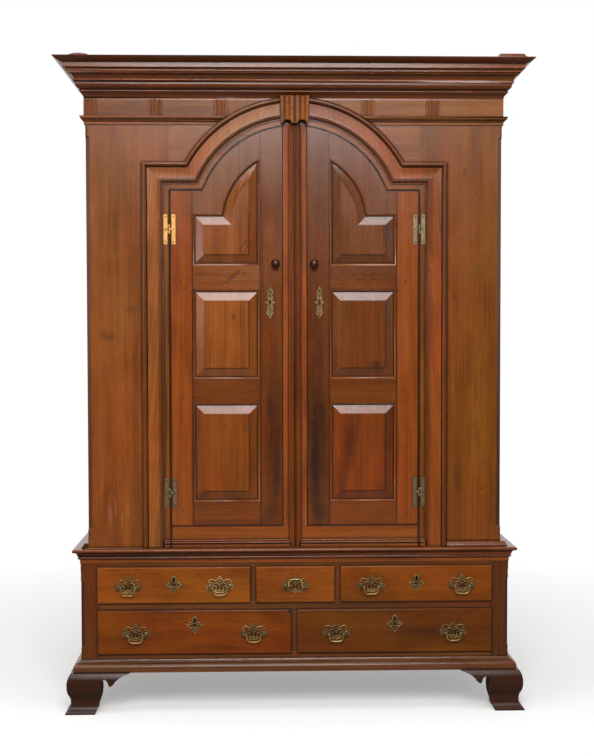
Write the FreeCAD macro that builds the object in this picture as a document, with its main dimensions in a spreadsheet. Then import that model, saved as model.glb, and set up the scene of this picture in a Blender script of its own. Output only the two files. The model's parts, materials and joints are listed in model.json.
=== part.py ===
import FreeCAD, Part
import math
import os
import re
import Sketcher
from FreeCAD import Placement, Rotation, Vector

# A kas: a tall two-door cupboard on a five-drawer lower case with ogee bracket feet.
# X runs to the right, the doors face -Y and Z is up. The origin lies on the floor, under the
# middle of the whole width and depth. Lengths are in millimetres.

SIZES = {
    # upper case
    "case_width": 1351,
    "case_depth": 535,
    "side_thickness": 20,
    "frame_thickness": 22,
    "back_thickness": 12,
    "board_thickness": 18,
    "back_board_width": 218,
    "cleat": 22,
    # lower case
    "lower_front_step": 15,
    "lower_side_step": 23.5,
    "lower_stile_width": 60,
    "foot_height": 130,
    "bottom_rail_height": 60,
    "low_row_height": 133,
    "mid_rail_height": 34,
    "top_row_height": 108,
    "top_rail_height": 67,
    "divider_width": 30,
    "divider_off_centre": 4,
    "middle_drawer_width": 246,
    # drawers
    "lip": 6,
    "lip_thickness": 8,
    "lip_round": 5,
    "drawer_front_thickness": 20,
    "drawer_side_thickness": 12,
    "drawer_bottom_thickness": 8,
    "drawer_length": 480,
    "drawer_gap": 1.5,
    "running_gap": 0.3,
    "guide": 18,
    # door opening, measured to the arched frame
    "opening_width": 813,
    "sill_rail_height": 69,
    "jamb_height": 1095,
    "arch_drop": 112,
    "arch_radius": 320,
    "mullion_width": 77,
    "mullion_depth": 34,
    "astragal_half": 19,
    "astragal_proud": 15,
    # doors
    "door_gap": 2,
    "door_thickness": 26,
    "stile_width": 72,
    "rail_width": 75,
    "low_panel_height": 327,
    "mid_panel_height": 294,
    "sticking": 9,
    "groove_depth": 7,
    "groove_width": 8,
    "panel_play": 1,
    "panel_bevel": 37,
    "panel_rise": 10.5,
    "panel_step": 1.5,
    # trim round the opening
    "reveal": 19,
    "architrave_width": 71,
    "architrave_proud": 20,
    "sill_trim_height": 25,
    "sill_trim_proud": 13,
    "keystone_half_top": 46.5,
    "keystone_half_bottom": 41.5,
    "keystone_proud": 34,
    "keystone_groove": 7,
    "keystone_scallop": 14,
    "keystone_scallop_lift": 2,
    "trim_gap": 0.3,
    # mouldings that run round the case
    "cornice_reach": 91,
    "cornice_height": 124,
    "cornice_lap": 10,
    "frieze_reach": 3.5,
    "frieze_height": 53,
    "neck_reach": 15.5,
    "neck_height": 26,
    "waist_reach": 26,
    "waist_height": 48,
    "base_reach": 24,
    "base_height": 38,
    "strip_reach": 18,
    "strip_height": 16,
    "triglyph_width": 39,
    "triglyph_proud": 5,
    "triglyph_gap": 0.5,
    "cap_depth": 70,
    "left_cap_width": 60,
    "left_cap_reach": 37,
    "left_cap_rise": 6,
    "right_cap_width": 88,
    "right_cap_reach": 63,
    "right_cap_rise": 9,
    "right_cap_slant": 12,
    # chamfered corners
    "upper_chamfer": 14,
    "lower_chamfer": 12,
    "tongue": 38,
    "upper_tongue_low": 28,
    "upper_tongue_high": 5,
    "lower_tongue_low": 5,
    "lower_tongue_high": 24,
    # feet
    "foot_pad_reach": 47,
    "foot_pad_height": 4,
    "foot_neck_reach": 30.5,
    "foot_neck_height": 36,
    "foot_bulge_reach": 42.5,
    "foot_bulge_height": 88,
    "foot_top_reach": 32,
    "foot_face": 66,
    "foot_taper": 17,
    "scroll_height": 112,
    "scroll_width": 10,
    "cusp_inset": 97,
    "cusp_height": 88,
    "bracket_length": 160,
    "foot_block": 32,
    "foot_block_lift": 3,
    # brass and locks
    "plate_half_width": 43,
    "plate_above": 38,
    "plate_below": 29,
    "plate_thickness": 1.6,
    "post_spacing": 66,
    "post_shank": 2,
    "bail_axis_height": 12,
    "post_head": 6,
    "bail_rod": 2.6,
    "bail_pin": 1.6,
    "pin_gap": 0.05,
    "bail_half_width": 22.5,
    "bail_drop": 25,
    "bail_bend": 3,
    "bail_sweep": 14,
    "bail_lean": 12,
    "top_pull_offset": 149,
    "low_pull_offset": 192,
    "pull_drop": 6,
    "drawer_scutcheon_half": 25,
    "drawer_scutcheon_above": 28,
    "drawer_scutcheon_below": 28,
    "door_scutcheon_half": 15,
    "door_scutcheon_half_height": 49,
    "keyhole_radius": 2.6,
    "keyhole_slot": 8,
    "drawer_keyhole_rise": 18,
    "lock_width": 60,
    "lock_height": 90,
    "lock_thickness": 13,
    "bolt_thickness": 6,
    "bolt_height": 22,
    "bolt_length": 34,
    "bolt_throw": 10,
    "bolt_gap": 0.5,
    "lock_above_sill": 729,
    "keyhole_inset": 40,
    "knob_above_lock": 126,
    "knob_inset": 22,
    "knob_radius": 14.5,
    "knob_length": 34,
    "knob_dome": 9.5,
    "knob_shank": 5,
    # hinges
    "hinge_height": 97,
    "hinge_leaf_width": 12.5,
    "hinge_leaf_thickness": 1.6,
    "knuckle_height": 30,
    "knuckle_radius": 3.4,
    "hinge_pin": 1.8,
    "pin_play": 0.05,
    "knuckle_gap": 0.4,
    "top_hinge_below_shoulder": 128,
    "low_hinge_above_sill": 109,
}

# Places that several pieces share, in the words of the sheet.
PLACES = {
    "face": "(cornice_reach - case_depth) / 2",
    "back": "(cornice_reach + case_depth) / 2",
    "half": "case_width / 2",
    "frame_back": "face + frame_thickness",
    "case_back": "back - back_thickness",
    "inner_half": "half - side_thickness",
    "low_face": "face - lower_front_step",
    "low_half": "half + lower_side_step",
    "low_frame_back": "low_face + frame_thickness",
    "low_inner_half": "low_half - side_thickness",
    "drawer_half": "low_half - lower_stile_width",
    "low_row_bottom": "foot_height + bottom_rail_height",
    "low_row_top": "low_row_bottom + low_row_height",
    "top_row_bottom": "low_row_top + mid_rail_height",
    "top_row_top": "top_row_bottom + top_row_height",
    "lower_top": "top_row_top + top_rail_height",
    "floor_top": "lower_top + board_thickness",
    "sill_height": "lower_top + sill_rail_height",
    "shoulder_height": "sill_height + jamb_height",
    "arch_centre": "shoulder_height - arch_drop",
    "middle_half": "middle_drawer_width / 2",
    "opening_half": "opening_width / 2",
    "mullion_half": "mullion_width / 2",
    "door_in": "mullion_half + door_gap",
    "door_out": "opening_half - door_gap",
    "door_bottom": "sill_height + door_gap",
    "door_shoulder": "shoulder_height - door_gap",
    "door_radius": "arch_radius - door_gap",
    "panel_in": "door_in + stile_width",
    "panel_out": "door_out - stile_width",
    "panel_shoulder": "door_shoulder - rail_width",
    "panel_radius": "door_radius - rail_width",
    "low_panel_bottom": "door_bottom + rail_width",
    "low_panel_top": "low_panel_bottom + low_panel_height",
    "mid_panel_bottom": "low_panel_top + rail_width",
    "mid_panel_top": "mid_panel_bottom + mid_panel_height",
    "top_panel_bottom": "mid_panel_top + rail_width",
    "cornice_bottom": "arch_centre + trim_outer_radius - cornice_lap",
    "case_top": "cornice_bottom + cornice_height",
    "frieze_bottom": "cornice_bottom - frieze_height",
    "neck_bottom": "frieze_bottom - neck_height",
    "trim_in": "opening_half + reveal",
    "trim_out": "trim_in + architrave_width",
    "trim_radius": "arch_radius + reveal",
    "trim_outer_radius": "trim_radius + architrave_width",
    "trim_shoulder": "shoulder_height + reveal",
    "trim_outer_shoulder": "trim_shoulder + architrave_width",
    "keystone_bottom": "arch_centre + arch_radius + door_gap",
    "keystone_top": "arch_centre + trim_outer_radius",
    "keystone_height": "keystone_top - keystone_bottom",
    "first_triglyph": "sqrt(trim_outer_radius ^ 2 - (frieze_bottom - arch_centre) ^ 2) + triglyph_gap"
                      " + triglyph_width / 2",
    "last_triglyph": "half + frieze_reach - triglyph_width / 2",
    "lock_centre": "sill_height + lock_above_sill",
    "knob_height": "lock_centre + knob_above_lock",
    "top_hinge": "shoulder_height - top_hinge_below_shoulder",
    "low_hinge": "sill_height + low_hinge_above_sill",
    "hinge_x": "opening_half - door_gap / 2",
    "hinge_y": "face - knuckle_radius - pin_play",
    "keyhole_x": "door_in + keyhole_inset",
    "knob_x": "door_in + knob_inset",
}

doc = FreeCAD.newDocument("Kas")
sheet = doc.addObject("Spreadsheet::Sheet", "Sizes")
for row, (alias, amount) in enumerate(SIZES.items(), start=1):
    sheet.set(f"A{row}", alias)
    sheet.set(f"B{row}", str(amount))
    sheet.setAlias(f"B{row}", alias)
doc.recompute()


def bound(text):
    """The sheet's words in a formula become references to its cells, shared places their formulas."""
    def swap(match):
        word = match.group(0)
        if word in PLACES:
            return "(" + bound(PLACES[word]) + ")"
        return "Sizes." + word if word in SIZES else word
    return re.sub(r"[a-z][a-z_]*", swap, str(text))


def size(text):
    """A formula's present value."""
    return float(sheet.evalExpression(bound(text)))


def circle_x(radius, height, centre):
    """How far a circle reaches sideways at a height."""
    return f"sqrt(({radius}) ^ 2 - ({height} - ({centre})) ^ 2)"


# ---------------------------------------------------------------- shapes bound to the sheet

# How a drawing lies: across and up become X and Z on a front, Y and Z on a side, X and Y on a plan.
PLANES = {
    "front": Rotation(Vector(1, 0, 0), 90),
    "side": Rotation(Vector(0, 1, 0), Vector(0, 0, 1), Vector(1, 0, 0)),
    "plan": Rotation(),
    "right_corner": Rotation(Vector(1, -1, 0), Vector(0, 0, 1), Vector(-1, -1, 0)),
}


def named(kind, label):
    thing = doc.addObject(kind, re.sub(r"\W", "_", label))
    thing.Label = label
    return thing


def place(thing, x="0", y="0", z="0"):
    for axis, formula in zip("xyz", (x, y, z)):
        thing.setExpression(f"Placement.Base.{axis}", bound(formula))
    return thing


def arc_between(start, end, radius):
    """The shorter arc of a circle; a positive radius keeps the centre on the left of the way."""
    chord = end - start
    half = chord.Length / 2
    away = math.sqrt(max(radius * radius - half * half, 0))
    left = Vector(-chord.y, chord.x, 0).normalize() * math.copysign(away, radius)
    centre = (start + end) / 2 + left
    first, last = (start, end) if radius > 0 else (end, start)
    angles = [math.atan2(p.y - centre.y, p.x - centre.x) for p in (first, last)]
    if angles[1] < angles[0]:
        angles[1] += 2 * math.pi
    return Part.ArcOfCircle(Part.Circle(centre, Vector(0, 0, 1), abs(radius)), *angles)


def sketch(label, plane, outline, x="0", y="0", z="0", closed=True):
    """A drawing whose corners are bound to the sheet.

    A corner is (across, up) or (across, up, bend) for an arc from the corner before. A bend that is
    a number is the radius as a multiple of the chord, one that is text is the radius itself.
    """
    drawing = named("Sketcher::SketchObject", label)
    drawing.Placement = Placement(Vector(), PLANES[plane])
    place(drawing, x, y, z)
    spots = [Vector(size(corner[0]), size(corner[1]), 0) for corner in outline]
    count = len(outline)
    last = count if closed else count - 1
    ends = []
    for index in range(last):
        here, there = outline[index], outline[(index + 1) % count]
        start, end = spots[index], spots[(index + 1) % count]
        if len(there) == 2:
            drawing.addGeometry(Part.LineSegment(start, end), False)
            ends.append((1, 2))
            continue
        radius = there[2]
        if not isinstance(radius, str):
            chord = f"sqrt(({there[0]} - ({here[0]})) ^ 2 + ({there[1]} - ({here[1]})) ^ 2)"
            radius = f"{there[2]} * {chord}"
        drawing.addGeometry(arc_between(start, end, size(radius)), False)
        rule = drawing.addConstraint(Sketcher.Constraint("Radius", index, abs(size(radius))))
        drawing.setExpression(f"Constraints[{rule}]", f"abs({bound(radius)})")
        ends.append((1, 2) if size(radius) > 0 else (2, 1))
    for index in range(last if closed else last - 1):
        after = (index + 1) % last
        drawing.addConstraint(
            Sketcher.Constraint("Coincident", index, ends[index][1], after, ends[after][0]))
    for index, corner in enumerate(outline):
        edge, end = (index, ends[index][0]) if index < last else (last - 1, ends[-1][1])
        for kind, formula, value in (("DistanceX", corner[0], spots[index].x),
                                     ("DistanceY", corner[1], spots[index].y)):
            rule = drawing.addConstraint(Sketcher.Constraint(kind, -1, 1, edge, end, value))
            drawing.setExpression(f"Constraints[{rule}]", bound(formula))
    return drawing


def prism(label, plane, outline, start, length):
    """An outline given a length along the axis that its plane leaves out, from start upwards."""
    rise = {"front": "y", "side": "x", "plan": "z"}[plane]
    base = f"{start} + ({length})" if plane == "front" else start
    solid = named("Part::Extrusion", label)
    solid.Base = sketch(f"{label} outline", plane, outline, **{rise: base})
    solid.DirMode = "Normal"
    solid.Solid = True
    solid.setExpression("LengthFwd", bound(length))
    return solid


def board(label, x, y, z):
    """A box between two formulas along each axis."""
    box = named("Part::Box", label)
    place(box, x[0], y[0], z[0])
    for prop, (low, high) in zip(("Length", "Width", "Height"), (x, y, z)):
        box.setExpression(prop, bound(f"({high}) - ({low})"))
    return box


def rod(label, axis, radius, length, x, y, z):
    """A cylinder along an axis, from its end at x, y, z."""
    turns = {"x": Rotation(Vector(0, 1, 0), 90), "y": Rotation(Vector(1, 0, 0), -90), "z": Rotation()}
    cylinder = named("Part::Cylinder", label)
    cylinder.Placement = Placement(Vector(), turns[axis])
    place(cylinder, x, y, z)
    cylinder.setExpression("Radius", bound(radius))
    cylinder.setExpression("Height", bound(length))
    return cylinder


def cut(label, base, tool):
    result = named("Part::Cut", label)
    result.Base, result.Tool = base, tool
    return result


def overlap(label, first, second):
    result = named("Part::Common", label)
    result.Base, result.Tool = first, second
    return result


def fused(label, *shapes):
    result = named("Part::MultiFuse", label)
    result.Shapes = list(shapes)
    return result


def group(label, *shapes):
    """Separate pieces kept under one name."""
    result = named("Part::Compound", label)
    result.Links = list(shapes)
    return result


def mirrored(label, source):
    """The same piece on the other side of the middle."""
    result = named("Part::Mirroring", label)
    result.Source = source
    result.Normal = Vector(1, 0, 0)
    return result


def both_halves(right):
    """An outline from its right-hand half, which runs outwards from the middle."""
    left = []
    for index in range(len(right) - 1, -1, -1):
        bend = right[index + 1][2:] if index + 1 < len(right) else ()
        left.append((f"-({right[index][0]})", right[index][1], *bend))
    return left + right


def both_sides(label, right):
    return group(label, mirrored(f"{label} left", right), right)


def repeated(label, source, x="0", y="0", z="0"):
    """The same piece moved to another place."""
    return place(group(label, source), x, y, z)


def turned(label, outline, x, y, z):
    """A turned piece about an axis that runs forward from x, y, z; outline is (radius, forward)."""
    solid = named("Part::Revolution", label)
    across = [(f"{x} + ({point[0]})", f"{y} - ({point[1]})", *point[2:]) for point in outline]
    solid.Source = sketch(f"{label} outline", "plan", across, z=z)
    solid.Axis = Vector(0, 1, 0)
    for axis, formula in zip("xyz", (x, y, z)):
        solid.setExpression(f"Base.{axis}", bound(formula))
    solid.Angle = 360
    solid.Solid = True
    return solid


NODES = {}


def node(name, shape):
    """Names a finished sub-part."""
    shape.Label = name
    NODES[name] = shape
    return shape


# ---------------------------------------------------------------- mouldings

# Each profile is (reach, rise) as shares of the moulding's own reach and height, from its lower
# inner edge outwards and up.
CORNICE = [(0, 0), (0.04, 0), (0.13, 0.16, -0.9), (0.15, 0.18), (0.15, 0.235, 0.51), (0.175, 0.26),
           (0.29, 0.365, 0.8), (0.3, 0.37), (0.3, 0.41), (0.35, 0.42), (0.35, 0.455),
           (0.49, 0.62, -0.8), (0.53, 0.625), (0.53, 0.665), (0.575, 0.67), (0.575, 0.705),
           (0.675, 0.745, -0.85), (0.69, 0.75), (0.69, 0.862), (1, 0.985, 1.5), (1, 1), (0, 1)]
FRIEZE = [(0, 0), (1, 0), (1, 1), (0, 1)]
NECK = [(0, 0), (0.25, 0), (0.25, 0.14), (0.45, 0.45, -0.8), (0.45, 0.55), (0.6, 0.55),
        (0.92, 0.82, 0.75), (1, 0.82), (1, 1), (0, 1)]
WAIST = [(0, 0), (0.06, 0), (0.06, 0.26), (0.15, 0.27), (0.15, 0.48, 0.51), (0.36, 0.49), (0.36, 0.585),
         (0.77, 0.76, -0.8), (0.77, 1, 0.51), (0, 1)]
BASE = [(0, 0), (1, 0), (1, 0.34), (0.6, 0.7, 0.75), (0.56, 0.71), (0.56, 0.79), (0.12, 1, -0.9), (0, 1)]
STRIP = [(0, 0), (1, 0), (1, 0.3), (0.8, 0.55), (0.8, 0.7), (0.4, 1, 0.75), (0, 1)]


def profile(shares, reach, height, edge, outward, bottom):
    """A moulding's outline at an edge; outward is + or - along the drawing's own axis."""
    turn = 1 if outward == "+" else -1
    return [(f"{edge} {outward} {share[0]} * {reach}", f"{bottom} + {share[1]} * ({height})",
             *(turn * bend for bend in share[2:])) for share in shares]


def front_run(label, shares, reach, height, front, side, bottom):
    """The run across the front, mitred at both corners."""
    run = prism(f"{label} length", "side", profile(shares, reach, height, front, "-", bottom),
                f"-({side} + {reach})", f"2 * ({side} + {reach})")
    mitres = prism(f"{label} mitres", "plan",
                   [(f"-({side})", front), (f"-({side} + {reach})", f"{front} - {reach}"),
                    (f"{side} + {reach}", f"{front} - {reach}"), (side, front)],
                   bottom, height)
    return overlap(label, run, mitres)


def side_run(label, shares, reach, height, front, side, bottom):
    """The right-hand return, mitred to the front run."""
    run = prism(f"{label} length", "front", profile(shares, reach, height, side, "+", bottom),
                f"{front} - {reach}", f"back - ({front} - {reach})")
    mitre = prism(f"{label} mitre", "plan",
                  [(side, front), (f"{side} + {reach}", f"{front} - {reach}"),
                   (f"{side} + {reach}", "back"), (side, "back")],
                  bottom, height)
    return overlap(label, run, mitre)


def moulding(label, shares, reach, height, front, side, bottom, clear_of=None):
    """A moulding round the front and both sides: three mitred lengths."""
    across = front_run(f"{label} front", shares, reach, height, front, side, bottom)
    if clear_of is not None:
        across = cut(f"{label} front piece", across, clear_of)
    right = side_run(f"{label} right", shares, reach, height, front, side, bottom)
    return [across, right, mirrored(f"{label} left", right)]


def arch_tool(label, radius):
    """A round block as wide as the arch, to clear mouldings that stop against it."""
    return rod(label, "y", radius, "frame_thickness + cornice_reach", "0", "face - cornice_reach",
               "arch_centre")


arch_clearance = arch_tool("arch clearance", "trim_outer_radius + trim_gap")
keystone_clearance = board(
    "keystone clearance",
    ("-(keystone_half_top + trim_gap)", "keystone_half_top + trim_gap"),
    ("face - cornice_reach", "face"),
    ("keystone_bottom", "keystone_top + trim_gap"))
trim_clearance = fused("trim clearance", arch_clearance, keystone_clearance)

# Two thin boards lie on the cornice's front corners: a bowed one and one with a slanted end.
left_cap = ("-(half + left_cap_reach)", "-(half + left_cap_reach - left_cap_width)")
right_cap = ("half + right_cap_reach - right_cap_width", "half + right_cap_reach")
caps = [prism("left cap", "front",
              [(left_cap[0], "case_top"), (left_cap[1], "case_top"),
               (left_cap[1], "case_top + left_cap_rise / 4"),
               (f"({left_cap[0]} + {left_cap[1]}) / 2", "case_top + left_cap_rise", 3),
               (left_cap[0], "case_top + left_cap_rise / 4", 3)],
              "face - cornice_reach", "cap_depth"),
        prism("right cap", "front",
              [(right_cap[0], "case_top"), (right_cap[1], "case_top"),
               (f"{right_cap[1]} - right_cap_slant", "case_top + right_cap_rise"),
               (right_cap[0], "case_top + right_cap_rise")],
              "face - cornice_reach", "cap_depth")]
node("cornice", group("cornice", *moulding(
    "cornice", CORNICE, "cornice_reach", "cornice_height", "face", "half", "cornice_bottom",
    trim_clearance), *caps))
node("frieze", group("frieze", *moulding(
    "frieze band", FRIEZE, "frieze_reach", "frieze_height", "face", "half", "frieze_bottom",
    trim_clearance), *moulding(
    "neck", NECK, "neck_reach", "neck_height", "face", "half", "neck_bottom", trim_clearance)))

strip = ("strip_reach", "strip_height", "face", "half", "lower_top")
strip_front = overlap(
    "strip front piece", front_run("strip front", STRIP, *strip),
    board("strip front half", ("trim_out + trim_gap", "half + strip_reach"),
          ("face - strip_reach", "face"), ("lower_top", "lower_top + strip_height")))
strip_side = side_run("strip right", STRIP, *strip)
node("waist_moulding", group(
    "waist_moulding", *moulding(
        "waist", WAIST, "waist_reach", "waist_height", "low_face", "low_half",
        "lower_top - waist_height"),
    strip_front, strip_side, mirrored("strip left", strip_side)))
node("base_moulding", group("base_moulding", *moulding(
    "base", BASE, "base_reach", "base_height", "low_face", "low_half", "foot_height")))


def triglyph(label, centre, width="triglyph_width"):
    """A block with four upright flutes between five reeds."""
    front = "face - frieze_reach - triglyph_proud"
    pitch = f"{width} / 13"
    outline = [(f"{centre} - {width} / 2", "face - frieze_reach"), (f"{centre} - {width} / 2", front)]
    for flute in range(4):
        start = f"{centre} - {width} / 2 + {1.5 + 2.8 * flute} * {pitch}"
        outline += [(start, front), (f"{start} + 1.9 * {pitch}", front, -0.56)]
    outline += [(f"{centre} + {width} / 2", front), (f"{centre} + {width} / 2", "face - frieze_reach")]
    return prism(label, "plan", outline, "frieze_bottom", "frieze_height")


centres = ["first_triglyph", "(first_triglyph + last_triglyph) / 2"]
triglyphs = [triglyph(f"triglyph {side}{index}", f"{side}({centre})")
             for side in ("-", "") for index, centre in enumerate(centres)]
triglyphs.append(triglyph("triglyph left corner", "-(last_triglyph)"))
node("triglyphs", group("triglyphs", *triglyphs))

# ---------------------------------------------------------------- trim round the doors

# The architrave's section: fillet, ogee, a flat, then the raised bead of the backband.
ARCHITRAVE = [(0, 0), (0, 0.25), (0.04, 0.25), (0.15, 0.6, -0.8), (0.2, 0.66, 0.9), (0.2, 0.58),
              (0.72, 0.62, 3), (0.74, 0.5), (0.78, 0.78), (0.96, 0.78, -0.56), (1, 0.5), (1, 0)]


def architrave_section(edge, across, base, out):
    """The section from its inner edge; across and out are the directions in the drawing."""
    turn = 1 if across == out else -1
    return [(f"{edge} {across} {share[0]} * architrave_width",
             f"{base} {out} {share[1]} * architrave_proud",
             *(turn * bend for bend in share[2:])) for share in ARCHITRAVE]


inner_corner = circle_x("trim_radius", "trim_shoulder", "arch_centre")
outer_corner = circle_x("trim_outer_radius", "trim_outer_shoulder", "arch_centre")
trim_front = "face - architrave_proud"
key_edge = "keystone_half_top + trim_gap"

leg = overlap(
    "architrave leg",
    prism("architrave leg length", "plan", architrave_section("trim_in", "+", "face", "-"),
          "lower_top", "trim_outer_shoulder - lower_top"),
    prism("architrave leg zone", "front",
          [("trim_in", "lower_top"), ("trim_out", "lower_top"), ("trim_out", "trim_outer_shoulder"),
           ("trim_in", "trim_shoulder")],
          trim_front, "architrave_proud"))
side_section = [(point[1], point[0], *(-bend for bend in point[2:]))
                for point in architrave_section("trim_shoulder", "+", "face", "-")]
shoulder = overlap(
    "architrave shoulder",
    prism("architrave shoulder length", "side", side_section, "0", "trim_out"),
    prism("architrave shoulder zone", "front",
          [("trim_in", "trim_shoulder"), ("trim_out", "trim_outer_shoulder"),
           (outer_corner, "trim_outer_shoulder"), (inner_corner, "trim_shoulder")],
          trim_front, "architrave_proud"))
ring = named("Part::Revolution", "architrave ring")
ring.Source = sketch("architrave ring section", "plan",
                     architrave_section("trim_radius", "+", "face", "-"), z="arch_centre")
ring.Axis = Vector(0, 1, 0)
ring.setExpression("Base.z", bound("arch_centre"))
ring.Angle = 360
ring.Solid = True
arc_zone = prism(
    "architrave arc zone", "front",
    [(key_edge, "trim_shoulder"), (inner_corner, "trim_shoulder"),
     (outer_corner, "trim_outer_shoulder"), (outer_corner, "arch_centre + trim_outer_radius"),
     (key_edge, "arch_centre + trim_outer_radius")],
    trim_front, "architrave_proud")
arc = overlap("architrave arc", ring, arc_zone)
node("architrave", both_sides("architrave", group("architrave right", leg, shoulder, arc)))

# The sill trim lies between the architrave's legs and the mullion.
SILL = [(0, 0), (1, 0), (1, 0.38), (0.62, 0.42), (0.62, 0.5), (0.86, 0.56), (0.86, 0.76, 0.51),
        (0.5, 0.8), (0.5, 1, 0.7), (0, 1)]
sill_trim = prism("sill trim right", "side",
                  profile(SILL, "sill_trim_proud", "sill_trim_height", "face", "-", "lower_top"),
                  "astragal_half", "trim_in - astragal_half")


# The keystone has a flute on each side of a deep middle groove, tapers downwards and ends in two
# scallops.
keystone_front = "face - keystone_proud"
keystone_section = both_halves([
    ("keystone_half_top * 0.06", f"{keystone_front} + keystone_groove"),
    ("keystone_half_top * 0.1", keystone_front), ("keystone_half_top * 0.28", keystone_front),
    ("keystone_half_top * 0.8", keystone_front, -0.7), ("keystone_half_top", keystone_front),
    ("keystone_half_top", "face")])
scallop = rod("scallop right", "y", "keystone_scallop", "keystone_proud",
              "keystone_half_bottom * 0.58", keystone_front, "keystone_bottom - keystone_scallop_lift")
keystone = cut(
    "keystone",
    overlap("keystone blank",
            prism("keystone length", "plan", keystone_section, "keystone_bottom", "keystone_height"),
            prism("keystone taper", "front",
                  [("-keystone_half_bottom", "keystone_bottom"),
                   ("keystone_half_bottom", "keystone_bottom"),
                   ("keystone_half_top", "keystone_top"), ("-keystone_half_top", "keystone_top")],
                  keystone_front, "keystone_proud")),
    both_sides("scallops", scallop))
node("keystone", keystone)

# ---------------------------------------------------------------- upper case


def door_opening(radius, shoulder, out, bottom):
    """The arched outline of the whole door opening, with its square shoulders."""
    corner = circle_x(radius, shoulder, "arch_centre")
    return [(f"-({out})", bottom), (out, bottom), (out, shoulder), (corner, shoulder),
            (f"-({corner})", shoulder, radius), (f"-({out})", shoulder)]


def corner_chamfer(label, leg_size, front, side, low, high):
    """What a chamfer takes off the right-hand corner; it ends in a lamb's tongue with two notches."""
    depth = f"{leg_size} / sqrt(2)"
    steps = [(0, 0), (0.45, 0.1, -0.8), (0.2, 0.2), (0.7, 0.34, -0.8), (0.4, 0.48), (1, 1, -0.9)]
    outline = [(leg_size, low), (leg_size, high)]
    outline += [(f"-{step[0]} * {depth}", f"{high} - {step[1]} * tongue", *step[2:]) for step in steps]
    outline.append((f"-({depth})", f"{low} + tongue"))
    outline += [(f"-{step[0]} * {depth}", f"{low} + {step[1]} * tongue", *after[2:])
                for step, after in zip(steps[-2::-1], steps[:0:-1])]
    tool = named("Part::Extrusion", label)
    tool.Base = sketch(f"{label} outline", "right_corner", outline, x=side, y=front)
    tool.DirMode = "Normal"
    tool.Solid = True
    tool.Symmetric = True
    tool.setExpression("LengthFwd", bound(f"4 * {leg_size}"))
    return tool


upper = ("lower_top", "case_top - board_thickness")
right_stile = cut(
    "face stile right",
    board("face stile blank", ("opening_half", "half"), ("face", "frame_back"), upper),
    corner_chamfer("upper chamfer", "upper_chamfer", "face", "half", "(lower_top + upper_tongue_low)",
                   "(neck_bottom - upper_tongue_high)"))
node("face_stiles", both_sides("face_stiles", right_stile))
head = cut(
    "head rail",
    board("head blank", ("-opening_half", "opening_half"), ("face", "frame_back"),
          ("shoulder_height", upper[1])),
    prism("head arch", "front", door_opening("arch_radius", "shoulder_height", "opening_half",
                                             "sill_height"), "face", "frame_thickness"))
sill = board("sill rail", ("-opening_half", "opening_half"), ("face", "frame_back"),
             ("lower_top", "sill_height"))
node("head_and_sill", group("head_and_sill", head, sill, sill_trim,
                            mirrored("sill trim left", sill_trim)))

# The middle post is flush with the face; an astragal with a deep middle groove runs down it and
# over the sill.
astragal_front = "face - astragal_proud"
astragal_right = [("astragal_half * 0.2", "face - astragal_proud * 0.35"),
                  ("astragal_half * 0.3", f"{astragal_front} + 2.5", 0.9),
                  ("astragal_half * 0.68", f"{astragal_front} + 3", -0.56),
                  ("astragal_half * 0.76", f"{astragal_front} + 6.5"),
                  ("astragal_half", "face - astragal_proud * 0.3", 0.8),
                  ("astragal_half", "face")]
bolt_z = ("lock_centre - bolt_height / 2", "lock_centre + bolt_height / 2")
bolt_y = ("face + door_thickness - lock_thickness / 2 - bolt_thickness / 2",
          "face + door_thickness - lock_thickness / 2 + bolt_thickness / 2")
mortise = board(
    "bolt mortise", ("mullion_half - bolt_throw", "mullion_half"),
    (f"{bolt_y[0]} - bolt_gap", f"{bolt_y[1]} + bolt_gap"),
    (f"{bolt_z[0]} - bolt_gap", f"{bolt_z[1]} + bolt_gap"))
post_top = f"arch_centre + {circle_x('arch_radius', 'mullion_half', '0')}"
post = cut(
    "mullion post",
    prism("mullion post blank", "front",
          [("-mullion_half", "sill_height"), ("mullion_half", "sill_height"),
           ("mullion_half", post_top), ("-mullion_half", post_top, "arch_radius")],
          "face", "mullion_depth"),
    group("bolt mortises", mortise, mirrored("left mortise", mortise)))
astragal = prism("astragal", "plan", both_halves(astragal_right), "lower_top",
                 "keystone_bottom - lower_top")
node("mullion", fused("mullion", post, astragal))

upper_side = board("upper side right", ("inner_half", "half"), ("frame_back", "back"), upper)
node("upper_sides", both_sides("upper_sides", upper_side))
between_sides = ("-inner_half", "inner_half")
node("upper_boards", group(
    "upper_boards",
    board("upper floor", between_sides, ("frame_back", "case_back"), ("lower_top", "floor_top")),
    board("upper top", ("-half", "half"), ("face", "back"), ("case_top - board_thickness", "case_top"))))

shelf_front = "face + mullion_depth + 2 * door_gap"
shelves, cleats = [], []
for level in (1, 2, 3):
    under = f"floor_top + {level} * (case_top - floor_top) / 4 - board_thickness"
    shelves.append(board(f"shelf {level}", between_sides, (shelf_front, "case_back"),
                         (under, f"{under} + board_thickness")))
    cleat = board(f"cleat {level}", ("inner_half - cleat", "inner_half"), (shelf_front, "case_back"),
                  (f"{under} - cleat", under))
    cleats += [cleat, mirrored(f"cleat {level} left", cleat)]
node("shelves", group("shelves", *shelves, *cleats))

back_boards = []
count = max(2, round(size("2 * inner_half / back_board_width")))
for index in range(count):
    edges = [f"-inner_half + 2 * inner_half * {step} / {count}" for step in (index, index + 1)]
    back_boards.append(board(f"upper back board {index + 1}", edges, ("case_back", "back"),
                             ("lower_top", upper[1])))
    edges = [f"-low_inner_half + 2 * low_inner_half * {step} / {count}" for step in (index, index + 1)]
    back_boards.append(board(f"lower back board {index + 1}", edges, ("case_back", "back"),
                             ("foot_height", "lower_top - board_thickness")))
node("back_boards", group("back_boards", *back_boards))

# ---------------------------------------------------------------- lower case

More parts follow.
